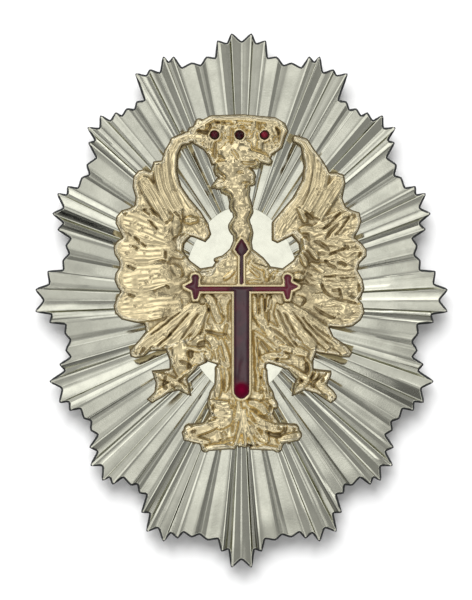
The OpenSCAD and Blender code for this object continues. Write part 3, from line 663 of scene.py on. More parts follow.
leftBodyCuts = [
    [38, -41, 40, -44, 43, -46, 5], [49, -51, 54, -52, 50, -57, 4.5], [26, 2, 22, -10, 16, -19, 1.6],
    [61, -60, 54, -62, 50, -68, 3], [22, -54, 24, -58, 23, -62, 2.2], [12, -99, 12, -104, 8, -106, 1.6],
    [16, -134, 18, -134, 20, -133, 4.5], [6, -137, 13, -139, 22, -139, 2.5],
    [6, -104, 8, -120, 10, -132, 1.5], [46, -130, 48, -130, 50, -131, 2.5],
    [74, -75, 79, -80, 75, -88, 2.2], [19, -78, 17, -84, 18, -90, 2], [10, 0, 14, -8, 12, -20, 2.4],
    [14, -24, 20, -32, 12, -40, 2.4], [28, -104, 30, -110, 28, -116, 1.6],
    [36, -30, 26, -34, 16, -34, 2.4], [70, -84, 66, -88, 60, -90, 2],
]
rightBodyCuts = [
    [17, -47, 17, -51, 18, -55, 2.6], [37, -55, 39, -55, 42, -54, 2.2], [19, -41, 24, -46, 27, -51, 2.6],
    [30, 4, 26, -6, 27, -25, 1.8], [29, -27, 36, -32, 54, -47, 2.4], [65, -61, 66, -66, 65, -71, 3],
    [69, -84, 71, -85, 73, -87, 1.8], [17, -101, 25, -99, 32, -96, 1.5],
    [9, -108, 18, -115, 27, -118, 1.8], [28, -106, 29, -113, 31, -119, 2.6],
    [24, -131, 31, -134, 39, -136, 3.2], [42, -121, 46, -125, 43, -131, 2.6],
    [52, -125, 53, -127, 52, -129, 2], [19, -92, 21, -88, 25, -93, 2.6],
    [18, -76, 20, -80, 22, -85, 2.4], [7, -120, 13, -126, 16, -134, 1.4],
    [91, -96, 92, -98, 94, -98, 1.8], [80, -77, 82, -79, 80, -82, 2], [52, -84, 56, -82, 60, -80, 2],
    [15, 2, 17, -6, 17, -14, 1.3], [23, 2, 24, -6, 23, -12, 1.2], [36, 29, 30, 26, 32, 21, 3],
]
crownCuts = [
    [-28, 179, -25, 178, -22, 178, 1.8], [-18, 178, -16, 176, -8, 176, 2],
    [-44, 168, -38, 168, -33, 168, 2.6], [-9, 172, -11, 164, -10, 156, 2.4],
    [-9, 150, -6, 146, -4, 141, 2.8], [17, 176, 19, 172, 18, 168, 2.2], [34, 172, 38, 168, 36, 158, 2],
    [-26, 158, -28, 150, -26, 142, 2.2], [-24, 144, -20, 142, -16, 141, 1.6],
    [10, 153, 14, 150, 20, 149, 1.6], [0, 175, 2, 171, 6, 168, 1.8], [-31, 176, -30, 172, -34, 166, 2],
    [0, 138, 6, 136, 14, 137, 2.6], [2, 128, 0, 130, -4, 127, 1.6], [-25, 128, -20, 126, -17, 120, 2.4],
    [14, 134, 18, 130, 17, 126, 1.8], [0, 116, 4, 118, 12, 116, 1.2],
]
# The cross's tee and spear, right half only, from the top down
crossTee = [
    [0, 13.7], [43.8, 13.7], [43.2, 17], [43.2, 20.2], [42.4, 22.6], [43.4, 25], [46, 26.2], [48.6, 25],
    [49.6, 22.6], [48.8, 20.2], [49, 18], [57, 14], [49, 10], [47.5, 1.5], [44.5, 1.5], [42, 9.3],
    [7.5, 9.3], [7.5, -90], [6.9, -93], [5.3, -95.3], [2.9, -97], [0, -97.5],
]
crossSpear = [
    [0, 61.5], [3.9, 55.9], [6.5, 50.5], [3.25, 46], [1.44, 44.5], [1.8, 16.5], [0, 16.5],
]


# A whole outline from its right half, closed by the mirrored half
def wholeOutline(half):
    right = np.array(half, float)
    left = right[np.abs(right[:, 0]) > 0.001] * [-1, 1]
    return np.concatenate([right, left[::-1]]) * step


# Distance to the cross's cells, positive inside them
def intoCross(relief):
    tee, spear = (insideOutline(relief.x, relief.y, wholeOutline(half)) for half in (crossTee, crossSpear))
    return np.maximum(tee, spear)


# Moves grid points that lie within half a cell of an outline's level line on to it, along the
# steepest way of the distance, so that the edge is clean
def snapTo(relief, distance, level):
    gy, gx = np.gradient(distance, relief.cell)
    off = np.where(np.abs(distance - level) < 0.5 * relief.cell, distance - level, 0)
    off /= np.maximum(0.3, gx ** 2 + gy ** 2)
    relief.x -= off * gx
    relief.y -= off * gy


# Gaussian blur in the plane, by the product of the two spectra
def blurred(field, cells):
    fy = np.fft.fftfreq(field.shape[0])[:, None]
    fx = np.fft.rfftfreq(field.shape[1])[None]
    spread = np.exp(-2 * (math.pi * cells) ** 2 * (fx ** 2 + fy ** 2))
    return np.fft.irfft2(np.fft.rfft2(field) * spread, s=field.shape)


# Triangles across the underside, between the rim's links. They are worked out on the grid's own rows
# and columns, where the rim never crosses itself, and kept where their middle lies in a used cell
def backTriangles(plan, links, used):
    found = delaunay_2d_cdt([Vector(point) for point in plan], links, [], 0, 1e-7)
    triangles = np.array([source[0] for source in found[3]])[np.array(found[2])]
    column, row = np.floor(plan[triangles].mean(1)).astype(int).T
    return triangles[used[row, column]][:, ::-1]


# The relief as a closed skin. Grid squares whose middle is inside become faces, squares that would
# meet only at a corner are filled in, rim points move on to the zero line of the inside field, and
# from the rim a row of side faces goes down to a flat back
def reliefSkin(name, relief, baseZ, draft, values, sharpAngle):
    inside = relief.inside
    used = inside[:-1, :-1] + inside[1:, :-1] + inside[:-1, 1:] + inside[1:, 1:] > 0
    used[[0, -1]] = False
    used[:, [0, -1]] = False
    corners = (used[:-1, :-1], used[:-1, 1:], used[1:, :-1], used[1:, 1:])
    for attempt in range(4):
        a, b, c, d = corners
        pinch = (a & d & ~b & ~c) | (b & c & ~a & ~d)
        for corner in corners:
            corner |= pinch
    rows, columns = np.nonzero(used)
    wide = inside.shape[1]
    first = rows * wide + columns
    kept, quads = np.unique(
        np.stack([first, first + 1, first + wide + 1, first + wide], 1), return_inverse=True)
    quads = quads.reshape(-1, 4)
    size = len(kept)
    ahead = np.concatenate([quads, np.roll(quads, -1, 1)]).reshape(2, -1)
    rimEdges = ahead[:, ~np.isin(ahead[0] * size + ahead[1], ahead[1] * size + ahead[0])]
    rim = np.unique(rimEdges)
    plan = np.stack([relief.x, relief.y], -1).reshape(-1, 2)[kept]
    slope = np.stack(np.gradient(inside, relief.cell)[::-1], -1).reshape(-1, 2)[kept[rim]]
    steep = np.maximum(0.25, (slope ** 2).sum(1))[:, None]
    move = np.clip(inside.ravel()[kept[rim]], -0.7 * relief.cell, 0.7 * relief.cell)
    plan[rim] -= move[:, None] * slope / steep
    foot = plan[rim] - draft * slope / np.sqrt(steep)
    points = np.concatenate([atHeight(plan, relief.height.ravel()[kept] + baseZ), atHeight(foot, baseZ)])
    place = np.full(size, -1)
    place[rim] = np.arange(len(rim))
    links = place[rimEdges]
    walls = np.concatenate([rimEdges[::-1], links + size]).T
    cells = np.stack([kept[rim] % wide, kept[rim] // wide], 1).astype(float)
    back = backTriangles(cells, links.T.tolist(), used) + size
    numbers = {key: np.append(field.ravel()[kept], field.ravel()[kept[rim]]) for key, field in values.items()}
    # The side's feet and the back take side 2, where the metal turns to its under colour and its painted glow
    if "side" in numbers:
        numbers["side"][size:] = 2
    faces = quads.tolist() + walls.tolist() + back.tolist()
    made = meshObject(name, points, faces, numbers, sharpAngle=sharpAngle)
    loops = np.empty(len(made.data.loops), int)
    made.data.loops.foreach_get("edge_index", loops)
    print(name + ":", len(faces), "faces,", int((np.bincount(loops) != 2).sum()), "edges not shared by two")
    return made


# The casting: snapped to the cross's gold line first, then strokes and webs, then the crown's
# settings, the gold line and the cells, softened a little and rounded off towards the outline
def makeEagle():
    lo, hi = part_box("eagle")
    edge, web, frameWidth = casting["edge"], casting["web"], casting["frameWidth"]
    relief = newRelief("eagle", 0.5 * mm, casting["cell"])
    distance = intoCross(relief)
    snapTo(relief, distance, 0)
    snapTo(relief, distance, -frameWidth)
    distance = intoCross(relief)
    x, y, anywhere = relief.x, relief.y, relief.limit
    for mirror, outline, coverts, body, flat, stir in (
            (-1, leftWing, leftCoverts, leftBody, "plate", casting["stirLeft"]),
            (1, rightWing, rightCoverts, rightBody, "wavy", casting["stirRight"])):
        drawWeb(relief, placed(outline, mirror), web)
        relief.limit = insideOutline(x, y, placed(outline, mirror))
        drawPlumes(relief, wing[:3], web, "plume", mirror, stir)
        drawPlumes(relief, wing[3:7], web, flat, mirror, stir)
        drawPlumes(relief, wing[7:], web, "plume", mirror, stir)
        drawPlumes(relief, coverts, web + casting["covertRise"], "covert", mirror)
        relief.limit = anywhere
        drawBand(relief, leadingEdge, edge, "band", mirror)
        drawBand(relief, breastRim, edge, "band", mirror)
        drawWeb(relief, placed(tailWeb, mirror), web)
        drawWeb(relief, placed(foot, mirror), web)
        drawPlumes(relief, body, web, "fold", mirror, stir)
        drawKnobs(relief, knobs, edge, mirror)
    drawWeb(relief, wholeOutline(breast), web)
    drawPlumes(relief, stem, web, "fold")
    drawBand(relief, neck, edge - casting["neckDrop"], "limb")
    drawPlumes(relief, head, edge, "limb")
    drawBand(relief, beak, edge, "limb")
    drawWeb(relief, placed(crown), casting["crownWeb"], casting["crownWorm"])
    for hoop in (upperHoop, rimHoop, bridge):
        drawBand(relief, hoop, edge, "hoop")
    drawKnobs(relief, crownBosses, edge)
    fromStone = np.min([np.hypot(x - stoneX, y - stoneY) for stoneX, stoneY in placed(stones)], 0)
    collar = casting["collarTop"] - casting["collarSlope"] * np.abs(fromStone - casting["collarMiddle"])
    collar[fromStone >= casting["collarReach"]] = 0
    relief.height = np.maximum(relief.height, collar)
    drawCuts(relief, leftCuts + leftBodyCuts, -1)
    drawCuts(relief, rightCuts + rightBodyCuts + crownCuts, 1)
    # Softened, but the sharp valleys stay deeper than the blur leaves them
    height, inside = relief.height, relief.inside
    soft = np.minimum(blurred(height, casting["softness"]), height + casting["valleyKept"])
    height = np.where(inside > 0, soft, height)
    pits = roughness(x, y, casting["pitSize"], 77) - casting["pitFrom"]
    pits = held(pits / casting["pitSoft"])
    rim = np.exp(-((inside - casting["rimPlace"]) / casting["rimHalf"]) ** 2)
    height += casting["rimHeight"] * rim - casting["pitDepth"] * pits * (1 - rim)
    height -= casting["edgeDrop"] * held(1 - inside / casting["edgeRound"]) ** 1.5
    height[fromStone < casting["stoneHole"]] = casting["stoneFloor"]
    near = 0.02 * mm
    onFrame = (distance > -frameWidth - near) & (distance <= near)
    frameTop = casting["frameHeight"] - casting["frameRound"] * np.abs(distance / frameWidth * 2 + 1) ** 3
    height = np.where(onFrame, frameTop, height)
    height[distance > near] = casting["cellFloor"]
    relief.height = np.clip(height, casting["thinnest"], hi.z - lo.z)
    relief.inside = inside = np.maximum(inside, distance + frameWidth)
    # Patina and painted shade lie where the relief is below its own blur, closely and widely, and less in the
    # middle
    shape = np.where(inside > 0, relief.height, casting["groundLevel"])
    close, wide = (held((blurred(shape, cells) - shape) / depth)
                   for cells, depth in (casting["closePatinaAndShade"], casting["widePatinaAndShade"]))
    # Steep walls get painted shade, and the strip beside the gold line patina and painted shade
    wall = held(np.hypot(*np.gradient(shape, casting["cell"])) - casting["wallFrom"])
    outside = distance < -frameWidth
    beside = held(1 + (distance + frameWidth) / casting["besideReach"]) * outside
    fields = (close, wide, wall, beside, relief.cut)
    hollowPatinaAndShade = sum(share * field for share, field in zip(casting["patinaAndShadeShares"], fields))
    # Less darkening towards the middle, full beyond a set distance to either side
    least = casting["patinaAndShadeInMiddle"]
    hollowPatinaAndShade *= least + (1 - least) * np.minimum(1, np.abs(x) / casting["patinaAndShadeFullAt"])
    # Painted shade in a band along each wing's root
    away = np.minimum(*(nearestOnChain(x, y, placed(wingRoot, mirror))[1] for mirror in (-1, 1)))
    rootShade = casting["rootShade"] * np.exp(-((away / casting["rootShadeHalf"]) ** 2)) * outside
    values = {
        "recess": held(rootShade + hollowPatinaAndShade),
        # rim: a lighter line just inside the outline, partly wear on the edge, partly a painted highlight
        "rim": rim * (distance < -frameWidth - 0.1 * mm),
        # side: the outer slope near the outline is painted dark brown, painted shade and dark reflection of
        # its rounded edge
        "side": held(1 - inside / casting["edgeShadeReach"]),
    }
    made = reliefSkin("EagleCasting", relief, lo.z, 0, values, 70)
    return standFor(made, "eagle")


eagleCasting = makeEagle()

# The enamel's measures, for its user to change
enamel = {
    "cell": 0.07 * mm,
    "meniscus": 0.06 * mm,
    "meniscusReach": 0.2 * mm,
    "ripple": 0.006 * mm,
    "rippleSize": 1.2 * mm,
    "footY": -11.15 * mm,
    "footReach": 0.75 * mm,
    "footSag": 0.05 * mm,
    # A painted glint at the foot and painted light over the sunk foot
    "footLight": 0.6,
    "footLightReach": 0.55,
    "sunkLight": 0.4,
    # Painted light along the arms, less on the left flower
    "armFrom": 1.2 * mm,
    "armPaintedLight": 0.5,
    "armSoft": 0.8 * mm,
    "flowerFrom": 4.6 * mm,
    "flowerSoft": 0.6 * mm,
    "leftFlowerLightCut": 0.6,
    "edgeGap": 0.01 * mm,
    "draft": -0.08 * mm,
}


# Enamel in its cell: level, with a rim that climbs by e^(-distance/reach) where it wets the metal
def makeEnamel(name, node, half):
    lo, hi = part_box(node)
    relief = newRelief(node, 0.3 * mm, enamel["cell"])
    x, y = relief.x, relief.y
    relief.inside = insideOutline(x, y, wholeOutline(half)) - enamel["edgeGap"]
    climb = np.exp(-np.maximum(0, relief.inside) / enamel["meniscusReach"])
    # Painted light: brighter red along the arms but less on the left flower, a painted glint at the foot,
    # more over the sunk foot
    aside = held((np.abs(x) - enamel["armFrom"]) / enamel["armSoft"])
    flower = held((-x - enamel["flowerFrom"]) / enamel["flowerSoft"])
    aside *= 1 - enamel["leftFlowerLightCut"] * flower
    fromFoot = np.hypot(x, y - enamel["footY"]) / enamel["footReach"]
    sunk = held(2.4 - 1.4 * fromFoot)
    bright = enamel["footLight"] * np.exp(-(fromFoot / enamel["footLightReach"]) ** 2)
    bright += enamel["sunkLight"] * sunk
    level = enamel["ripple"] * roughness(x, y, enamel["rippleSize"], 41) - enamel["meniscus"]
    level -= enamel["footSag"] * np.exp(-fromFoot ** 2 * 2)
    relief.height = hi.z - lo.z + level * (1 - climb)
    values = {"paintedLight": np.maximum(bright, enamel["armPaintedLight"] * aside), "sunk": sunk}
    return standFor(reliefSkin(name, relief, lo.z, enamel["draft"], values, 50), node)


enamelTee = makeEnamel("EnamelTee", "enamel_tee", crossTee)
enamelSpear = makeEnamel("EnamelSpear", "enamel_spear", crossSpear)

# The stones' measures, for their user to change; the last is how much painted light each stone has, most in
# its middle
stoneCut = {"around": 40, "rings": 12, "girdle": 0.35, "fullness": 0.8, "paintedLight": (0.15, 0, 0.6)}


# A stone: a straight girdle and a dome, of radius r cos(a)^fullness and height girdle + rest sin(a)
def makeStone(number, paintedLight):
    node = "crown_stone_%d" % number
    lo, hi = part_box(node)
    centre = (lo + hi) / 2
    radius = (hi.x - lo.x) / 2
    girdle = stoneCut["girdle"] * (hi.z - lo.z)
    climb = np.linspace(math.pi / 2, 0, stoneCut["rings"])[1:]
    ringRadius = np.append(radius * np.cos(climb) ** stoneCut["fullness"], radius)
    ringHeight = np.append(lo.z + girdle + (hi.z - lo.z - girdle) * np.sin(climb), lo.z)
    turn = np.arange(stoneCut["around"]) * 2 * math.pi / stoneCut["around"]
    circle = np.stack([np.cos(turn), np.sin(turn)], 1)
    plan = ringRadius[:, None, None] * circle + np.array(centre.xy)
    poles = [[centre.x, centre.y, hi.z], [centre.x, centre.y, lo.z]]
    points, faces = ringSkin(atHeight(plan, ringHeight[:, None]), poles)
    # Painted light, brightest in the middle and gone at the girdle
    middleLight = paintedLight * (1 - (ringRadius / radius) ** 3)
    values = {"paintedLight": np.append(np.repeat(middleLight, len(turn)), [paintedLight, 0])}
    made = meshObject("CrownStone%d" % number, points, faces, values, sharpAngle=45)
    return standFor(made, node)


crownStones = [makeStone(number + 1, paintedLight) for number, paintedLight in enumerate(stoneCut["paintedLight"])]
print("stones set:", len(crownStones))


# Gives a node's inputs their values: a socket is linked, anything else is set
def feed(tree, node, inputs):
    for key, value in inputs.items():
        if isinstance(value, bpy.types.NodeSocket):
            tree.links.new(value, node.inputs[key])
        else:
            node.inputs[key].default_value = value


# A shader node with its settings and its inputs
def addNode(tree, kind, inputs={}, **settings):
    made = tree.nodes.new("ShaderNode" + kind)
    for key, value in settings.items():
        setattr(made, key, value)
    feed(tree, made, inputs)
    return made


# A sum, product or the like of the values, by the name of the operation
def maths(tree, operation, *values, clamp=False):
    return addNode(tree, "Math", dict(enumerate(values)), operation=operation, use_clamp=clamp).outputs[0]


# The colour that lies a share of the way from low to high
def mixed(tree, share, low, high):
    made = addNode(tree, "Mix", {0: share, 6: low, 7: high}, data_type="RGBA")
    return made.outputs[2]


# The number that lies a share of the way from low to high
def blended(tree, share, low, high):
    return addNode(tree, "Mix", {0: share, 2: low, 3: high}, data_type="FLOAT").outputs[0]


# A value carried from one range to another and held in it, straight or as a smooth step
def mapped(tree, value, fromMin, fromMax, toMin=0, toMax=1, kind="LINEAR"):
    return addNode(tree, "MapRange", {
        "Value": value, "From Min": fromMin, "From Max": fromMax, "To Min": toMin, "To Max": toMax,
    }, interpolation_type=kind).outputs[0]


# Soft noise of a scale per metre
def noise(tree, place, scale, detail, rough=0.5, bent=0):
    return addNode(tree, "TexNoise", {
        "Vector": place, "Scale": scale, "Detail": detail, "Roughness": rough, "Distortion": bent,
    }).outputs[0]


# A place times a factor on each axis
def stretched(tree, place, factors):
    return addNode(tree, "VectorMath", {0: place, 1: factors}, operation="MULTIPLY").outputs[0]


# The values that a mesh carries at its points under a name
def painted(tree, name):
    return addNode(tree, "Attribute", attribute_name=name).outputs["Fac"]


# The place on the object, in metres
def objectPlace(tree):
    return addNode(tree, "TexCoord").outputs["Object"]


# A new node group with sockets given as name and kind
def newGroup(name, inputs, outputs):
    tree = bpy.data.node_groups.new(name, "ShaderNodeTree")
    for way, sockets in (("INPUT", inputs), ("OUTPUT", outputs)):
        for key, kind in sockets.items():
            tree.interface.new_socket(key, in_out=way, socket_type="NodeSocket" + kind)
    return tree, tree.nodes.new("NodeGroupInput").outputs, tree.nodes.new("NodeGroupOutput")


# Cast grain: fine pebbles from two sizes of noise
def buildGrainGroup():
    tree, given, result = newGroup("castGrain", {"Size": "Float", "Stretch": "Vector"}, {"Height": "Float"})
    place = objectPlace(tree)
    scale = maths(tree, "DIVIDE", 1.0, given["Size"])
    coarse = noise(tree, stretched(tree, place, given["Stretch"]), scale, 3.0, 0.6, 0.4)
    fine = noise(tree, place, maths(tree, "MULTIPLY", scale, 2.7), 2.0)
    feed(tree, result, {"Height": maths(tree, "MULTIPLY_ADD", fine, 0.4, coarse)})
    return tree


# Tarnish and painted shade: blotches of dull colour over the clean one, more in hollows, where it is
# patina and painted shade, and rougher where it is dull
def buildTarnishAndShadeGroup():
    tree, given, result = newGroup("tarnishAndShade", {
        "Clean": "Color", "Dull": "Color", "Hollow": "Float", "Amount": "Float", "Patches": "Float",
        "Patch Size": "Float", "Polished": "Float", "Matt": "Float",
    }, {"Color": "Color", "Roughness": "Float", "Mask": "Float"})
    scale = maths(tree, "DIVIDE", 1.0, given["Patch Size"])
    cloud = mapped(tree, noise(tree, objectPlace(tree), scale, 4.0, 0.65), 0.42, 0.72)
    patches = maths(tree, "MULTIPLY", cloud, given["Patches"])
    total = maths(tree, "MULTIPLY_ADD", given["Hollow"], given["Amount"], patches, clamp=True)
    feed(tree, result, {
        "Color": mixed(tree, total, given["Clean"], given["Dull"]),
        "Roughness": blended(tree, total, given["Polished"], given["Matt"]), "Mask": total})
    return tree


grainGroup = buildGrainGroup()
tarnishAndShadeGroup = buildTarnishAndShadeGroup()
print("node groups built")

# The metals, for their user to change: colours, how dull, how rough, and the grain
metals = {
    # NickelSilver: side, near black and not metal, is painted shade; dull serves tarnish and painted shade
    "NickelSilver": {
        "clean": (0.71, 0.71, 0.6, 1), "dull": (0.12, 0.12, 0.1, 1), "side": (0.03, 0.032, 0.032, 1),
        "under": (0.7, 0.7, 0.6, 1), "underPaintedGlow": 0, "wearAndHighlight": (0.8, 0.8, 0.72, 1), "specular": 0.1,
        "sideBare": 0, "hollowBare": 1, "amount": 0.8, "patches": 0.12, "patchSize": 1.4 * mm,
        "polished": 0.12, "matt": 0.4, "grain": 0.2 * mm, "stretch": (1, 1, 1), "bump": 0.3,
        "relief": 0.01 * mm,
    },
    # GiltBrass: side is painted shade on the outer slope, dull serves patina and painted shade, the under
    # glow is a painted light, and the worn colour is partly a painted highlight
    "GiltBrass": {
        "clean": (1.0, 0.85, 0.52, 1), "dull": (0.15, 0.1, 0.036, 1), "side": (0.17, 0.12, 0.055, 1),
        "under": (0.76, 0.66, 0.45, 1), "underPaintedGlow": 0.22, "wearAndHighlight": (1.0, 0.95, 0.76, 1), "specular": 0.5,
        "sideBare": 0.6, "hollowBare": 0.8, "amount": 0.75, "patches": 0.2, "patchSize": 0.8 * mm,
        "polished": 0.14, "matt": 0.36, "grain": 0.26 * mm, "stretch": (1, 1, 1), "bump": 0.12,
        "relief": 0.014 * mm,
    },
    "PostBrass": {
        "clean": (0.66, 0.63, 0.56, 1), "dull": (0.2, 0.17, 0.12, 1), "side": (0.2, 0.18, 0.14, 1),
        "under": (0.66, 0.63, 0.56, 1), "underPaintedGlow": 0, "wearAndHighlight": (0.7, 0.68, 0.6, 1), "specular": 0.5,
        "sideBare": 1, "hollowBare": 1, "amount": 0.5, "patches": 0.5, "patchSize": 0.9 * mm,
        "polished": 0.3, "matt": 0.55, "grain": 0.3 * mm, "stretch": (1, 1, 0.15), "bump": 0.3,
        "relief": 0.01 * mm,
    },
}


# A new material, with its nodes and its shader
def newMaterial(name):
    material = bpy.data.materials.new(name)
    material.use_nodes = True
    return material, material.node_tree, material.node_tree.nodes["Principled BSDF"]


# A metal: tarnish, with painted shade, and grain from the shared groups; painted shade on the sides and a
# painted glow on the walls and back; bumped by the grain
def makeMetal(name):
    look = metals[name]
    material, tree, shader = newMaterial(name)
    recess, side, rim = (painted(tree, key) for key in ("recess", "side", "rim"))
    tarnishAndShade = addNode(tree, "Group", {
        "Clean": look["clean"], "Dull": look["dull"], "Amount": look["amount"], "Patches": look["patches"],
        "Patch Size": look["patchSize"], "Polished": look["polished"], "Matt": look["matt"],
        "Hollow": maths(tree, "SUBTRACT", recess, rim, clamp=True),
    }, node_tree=tarnishAndShadeGroup).outputs
    grain = addNode(tree, "Group", {"Size": look["grain"], "Stretch": look["stretch"]}, node_tree=grainGroup)
    bump = addNode(tree, "Bump", {
        "Strength": look["bump"], "Distance": look["relief"], "Height": grain.outputs["Height"]})
    onSide = mapped(tree, side, 0.35, 0.8)
    under = mapped(tree, side, 1.0, 1.1)
    bare = mapped(tree, tarnishAndShade["Mask"], 0, 1, 1, look["hollowBare"])
    # The rim line is lighter and less dull: partly wear, partly a painted highlight
    wearAndHighlight = mixed(tree, maths(tree, "MULTIPLY", rim, 0.6), tarnishAndShade["Color"], look["wearAndHighlight"])
    feed(tree, shader, {
        "Base Color": mixed(tree, under, mixed(tree, onSide, wearAndHighlight, look["side"]), look["under"]),
        "Metallic": blended(tree, onSide, bare, look["sideBare"]),
        "Roughness": blended(tree, onSide, tarnishAndShade["Roughness"], 0.7),
        # Emission on the walls and back: a painted glow, though no lamp, that lightens them where the star
        # mirrors them
        "Emission Color": mixed(tree, under, (0, 0, 0, 1), look["under"]),
        "Emission Strength": look["underPaintedGlow"], "Specular IOR Level": look["specular"],
        "Normal": bump.outputs[0]})
    return material


# Glassy reds, for their user to change
reds = {
    "RedEnamel": {
        "deep": (0.022, 0.003, 0.007, 1), "bright": (0.115, 0.0, 0.014, 1), "rough": 0.1, "coatIor": 1.55,
        "cloud": 1.6 * mm, "clouds": 0.25, "drawn": (1.3, 0.4, 1), "flow": 1.7 * mm,
    },
    "RedStone": {
        "deep": (0.012, 0.0, 0.002, 1), "bright": (0.17, 0.0, 0.012, 1), "rough": 0.08, "coatIor": 1.44,
        "cloud": 0.5 * mm, "clouds": 0.3, "drawn": (1, 1, 1), "flow": 0.6 * mm,
    },
}


# Enamel and stones: deep red with brighter clouds, brighter where light is painted on, and dull where it is
# sunk
def makeRed(name):
    look = reds[name]
    material, tree, shader = newMaterial(name)
    place = objectPlace(tree)
    clouds = mapped(tree, noise(tree, place, 1 / look["cloud"], 3.0), 0.45, 0.75, 0, look["clouds"])
    bright = maths(tree, "ADD", clouds, painted(tree, "paintedLight"), clamp=True)
    flow = noise(tree, stretched(tree, place, look["drawn"]), 1 / look["flow"], 2.0)
    dull = maths(tree, "MAXIMUM", painted(tree, "sunk"), mapped(tree, flow, 0.55, 0.68, 0, 0.6))
    feed(tree, shader, {
        "Base Color": mixed(tree, bright, look["deep"], look["bright"]),
        "Coat Weight": mapped(tree, dull, 0, 1, 1, 0.05), "Coat Roughness": look["rough"],
        "Coat IOR": look["coatIor"], "Roughness": look["rough"], "Specular IOR Level": 0})
    return material


for material, pieces in (
        (makeMetal("NickelSilver"), [starRays]), (makeMetal("GiltBrass"), [eagleCasting]),
        (makeRed("RedEnamel"), [enamelTee, enamelSpear]), (makeRed("RedStone"), crownStones)):
    for piece in pieces:
        piece.data.materials.append(material)
postBrass = makeMetal("PostBrass")
for name in ("post_top", "post_left", "post_right"):
    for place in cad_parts[name].material_slots:
        place.material = postBrass
print("materials on")

# The studio, for its user to change: bearings run clockwise from the crown and tilts down from
# overhead, in degrees
studio = {
    "ambient": 0.3,
    "horizon": 0.05,
    "horizonFrom": 82,
    "horizonTo": 60,
    "lampX": 44 * mm,
    "lampY": 96 * mm,
    "lampZ": 105 * mm,
    "lampWidth": 64 * mm,
    "lampHeight": 50 * mm,
    "lampUpper": 0.9,
    "lampLower": 0.55,
    "lampTarget": Vector((24 * mm, 0, 5 * mm)),
    "keyBearing": 351,
    "keyTilt": 25,
    "keyDistance": 0.7,
    "keySize": 0.4,
    "keyPower": 4.6,
    "floorRadius": 1.5,
    "floorColour": (0.93, 0.93, 0.93, 1),
    "floorRough": 0.9,
    "floorGlow": 0.03,
    "viewHeight": 75 * mm,
    "cameraDistance": 0.6,
    "sensor": 36,
    "viewX": -0.69 * mm,
    "viewY": 0.06 * mm,
    "planeZ": 5 * mm,
}
# Soft round boxes of light: bearing, tilt, half width, softness and strength; a box of negative
# strength is a dark card
boxes = [
    [60, 1.6, 7, 3, 0.74], [30, 6, 13, 9, 0.2], [225, 7, 6, 3, 0.3], [308, 21, 10, 7, 0.3],
    [200, 22, 9, 8, 0.1], [328, 44, 7.5, 5, 1.05], [345, 55, 7, 4, 1.0], [217, 45, 6, 4, 1.15],
    [242, 45, 6, 4, 0.75], [158, 36, 9, 6, 0.85], [188, 48, 12, 9, 0.45], [300, 40, 10, 8, 0.4],
    [280, 47, 8, 6, 0.15], [80, 47, 10, 8, 0.1], [318, 74, 14, 8, 1.3], [60, 76, 12, 8, 0.8],
    [196, 78, 12, 8, 0.9], [22, 27, 3, 3, 1.8], [262, 26, 3.5, 3, 1.2], [88, 26, 3, 3, 1.3],
    [335, 24, 3, 3, 0.6], [215, 25, 3, 3, 0.5], [6, 22, 4, 2.5, -0.25], [14, 37, 6, 3, -0.25],
    [15, 52, 7, 3, -0.3], [45, 20, 5, 4, -0.12], [32, 46, 8, 6, -0.18],
]


# Direction towards a bearing and tilt
def towards(bearing, tilt):
    b, t = math.radians(bearing), math.radians(tilt)
    return Vector((math.sin(b) * math.sin(t), math.cos(b) * math.sin(t), math.cos(t)))


# Cosine of an angle in degrees
def cosine(degrees):
    return math.cos(math.radians(degrees))


# The room: an even grey with the boxes on it, each a smooth step of the angle from its middle
def makeRoom():
    world = bpy.data.worlds.new("Studio")
    bpy.context.scene.world = world
    world.use_nodes = True
    tree = world.node_tree
    direction = addNode(tree, "TexCoord").outputs["Generated"]
    up = addNode(tree, "SeparateXYZ", {0: direction}).outputs["Z"]
    total = mapped(tree, up, cosine(studio["horizonFrom"]), cosine(studio["horizonTo"]),
                   studio["horizon"], studio["ambient"], "SMOOTHSTEP")
    for bearing, tilt, half, soft, strength in boxes:
        facing = addNode(tree, "VectorMath", {0: direction, 1: towards(bearing, tilt)},
                         operation="DOT_PRODUCT").outputs["Value"]
        dim, full = cosine(half + soft), cosine(max(1, half - soft))
        light = mapped(tree, facing, dim, full, 0, strength, "SMOOTHSTEP")
        total = maths(tree, "ADD", light, total)
    feed(tree, tree.nodes["Background"], {"Color": (1, 1, 1, 1), "Strength": total})


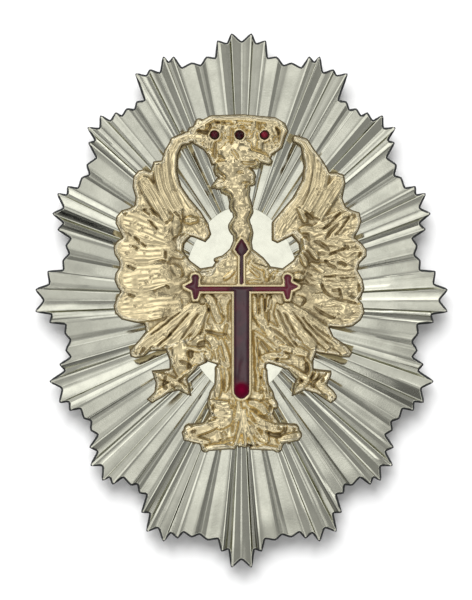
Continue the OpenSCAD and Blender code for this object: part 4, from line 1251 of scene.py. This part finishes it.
# An area light at a place, facing against the given way
def addLight(name, shape, size, power, place, way):
    light = bpy.data.lights.new(name, "AREA")
    light.shape = shape
    light.size, light.size_y = size
    light.energy = power
    made = bpy.data.objects.new(name, light)
    made.location = place
    made.rotation_euler = way.to_track_quat("Z", "Y").to_euler()
    bpy.context.scene.collection.objects.link(made)
    return made


# The key light: a round area light that throws the soft shadow down and to the right. Metal doesn't
# mirror it, since the boxes of the room stand for all that it mirrors
def makeKey():
    way = towards(studio["keyBearing"], studio["keyTilt"])
    size = (studio["keySize"], studio["keySize"])
    key = addLight("Key", "DISK", size, studio["keyPower"], way * studio["keyDistance"], way)
    key.visible_glossy = False


# Lamps near the right edge that only metal mirrors: a lamp of radiance L and area A has power pi L A
def makeLamps():
    size = (studio["lampWidth"], studio["lampHeight"])
    for name, side, strength in (("Lamp1", 1, studio["lampUpper"]), ("Lamp2", -1, studio["lampLower"])):
        place = Vector((studio["lampX"], side * studio["lampY"], studio["lampZ"]))
        power = math.pi * strength * size[0] * size[1]
        lamp = addLight(name, "RECTANGLE", size, power, place, place - studio["lampTarget"])
        lamp.visible_diffuse = False


# The camera looks straight down with a long lens; its field is the set height at the badge's plane
def makeCamera():
    data = bpy.data.cameras.new("Camera")
    data.sensor_fit = "VERTICAL"
    data.sensor_height = studio["sensor"]
    data.lens = studio["sensor"] * studio["cameraDistance"] / studio["viewHeight"]
    data.clip_start = 0.01
    data.clip_end = 20
    made = bpy.data.objects.new("Camera", data)
    made.location = (studio["viewX"], studio["viewY"], studio["planeZ"] + studio["cameraDistance"])
    bpy.context.scene.collection.objects.link(made)
    bpy.context.scene.camera = made


# The floor: a wide pale disc
def makeFloor():
    turn = np.arange(64) * 2 * math.pi / 64
    plan = studio["floorRadius"] * np.stack([np.cos(turn), np.sin(turn)], 1)
    made = meshObject("Floor", atHeight(plan, 0), [list(range(64))], smooth=False)
    material, tree, shader = newMaterial("PalePaper")
    feed(tree, shader, {
        "Base Color": studio["floorColour"], "Roughness": studio["floorRough"],
        "Emission Color": (1, 1, 1, 1), "Emission Strength": studio["floorGlow"]})
    made.data.materials.append(material)


makeRoom()
makeKey()
makeLamps()
makeCamera()
makeFloor()
bpy.context.scene.view_settings.view_transform = "Standard"
print("studio set")
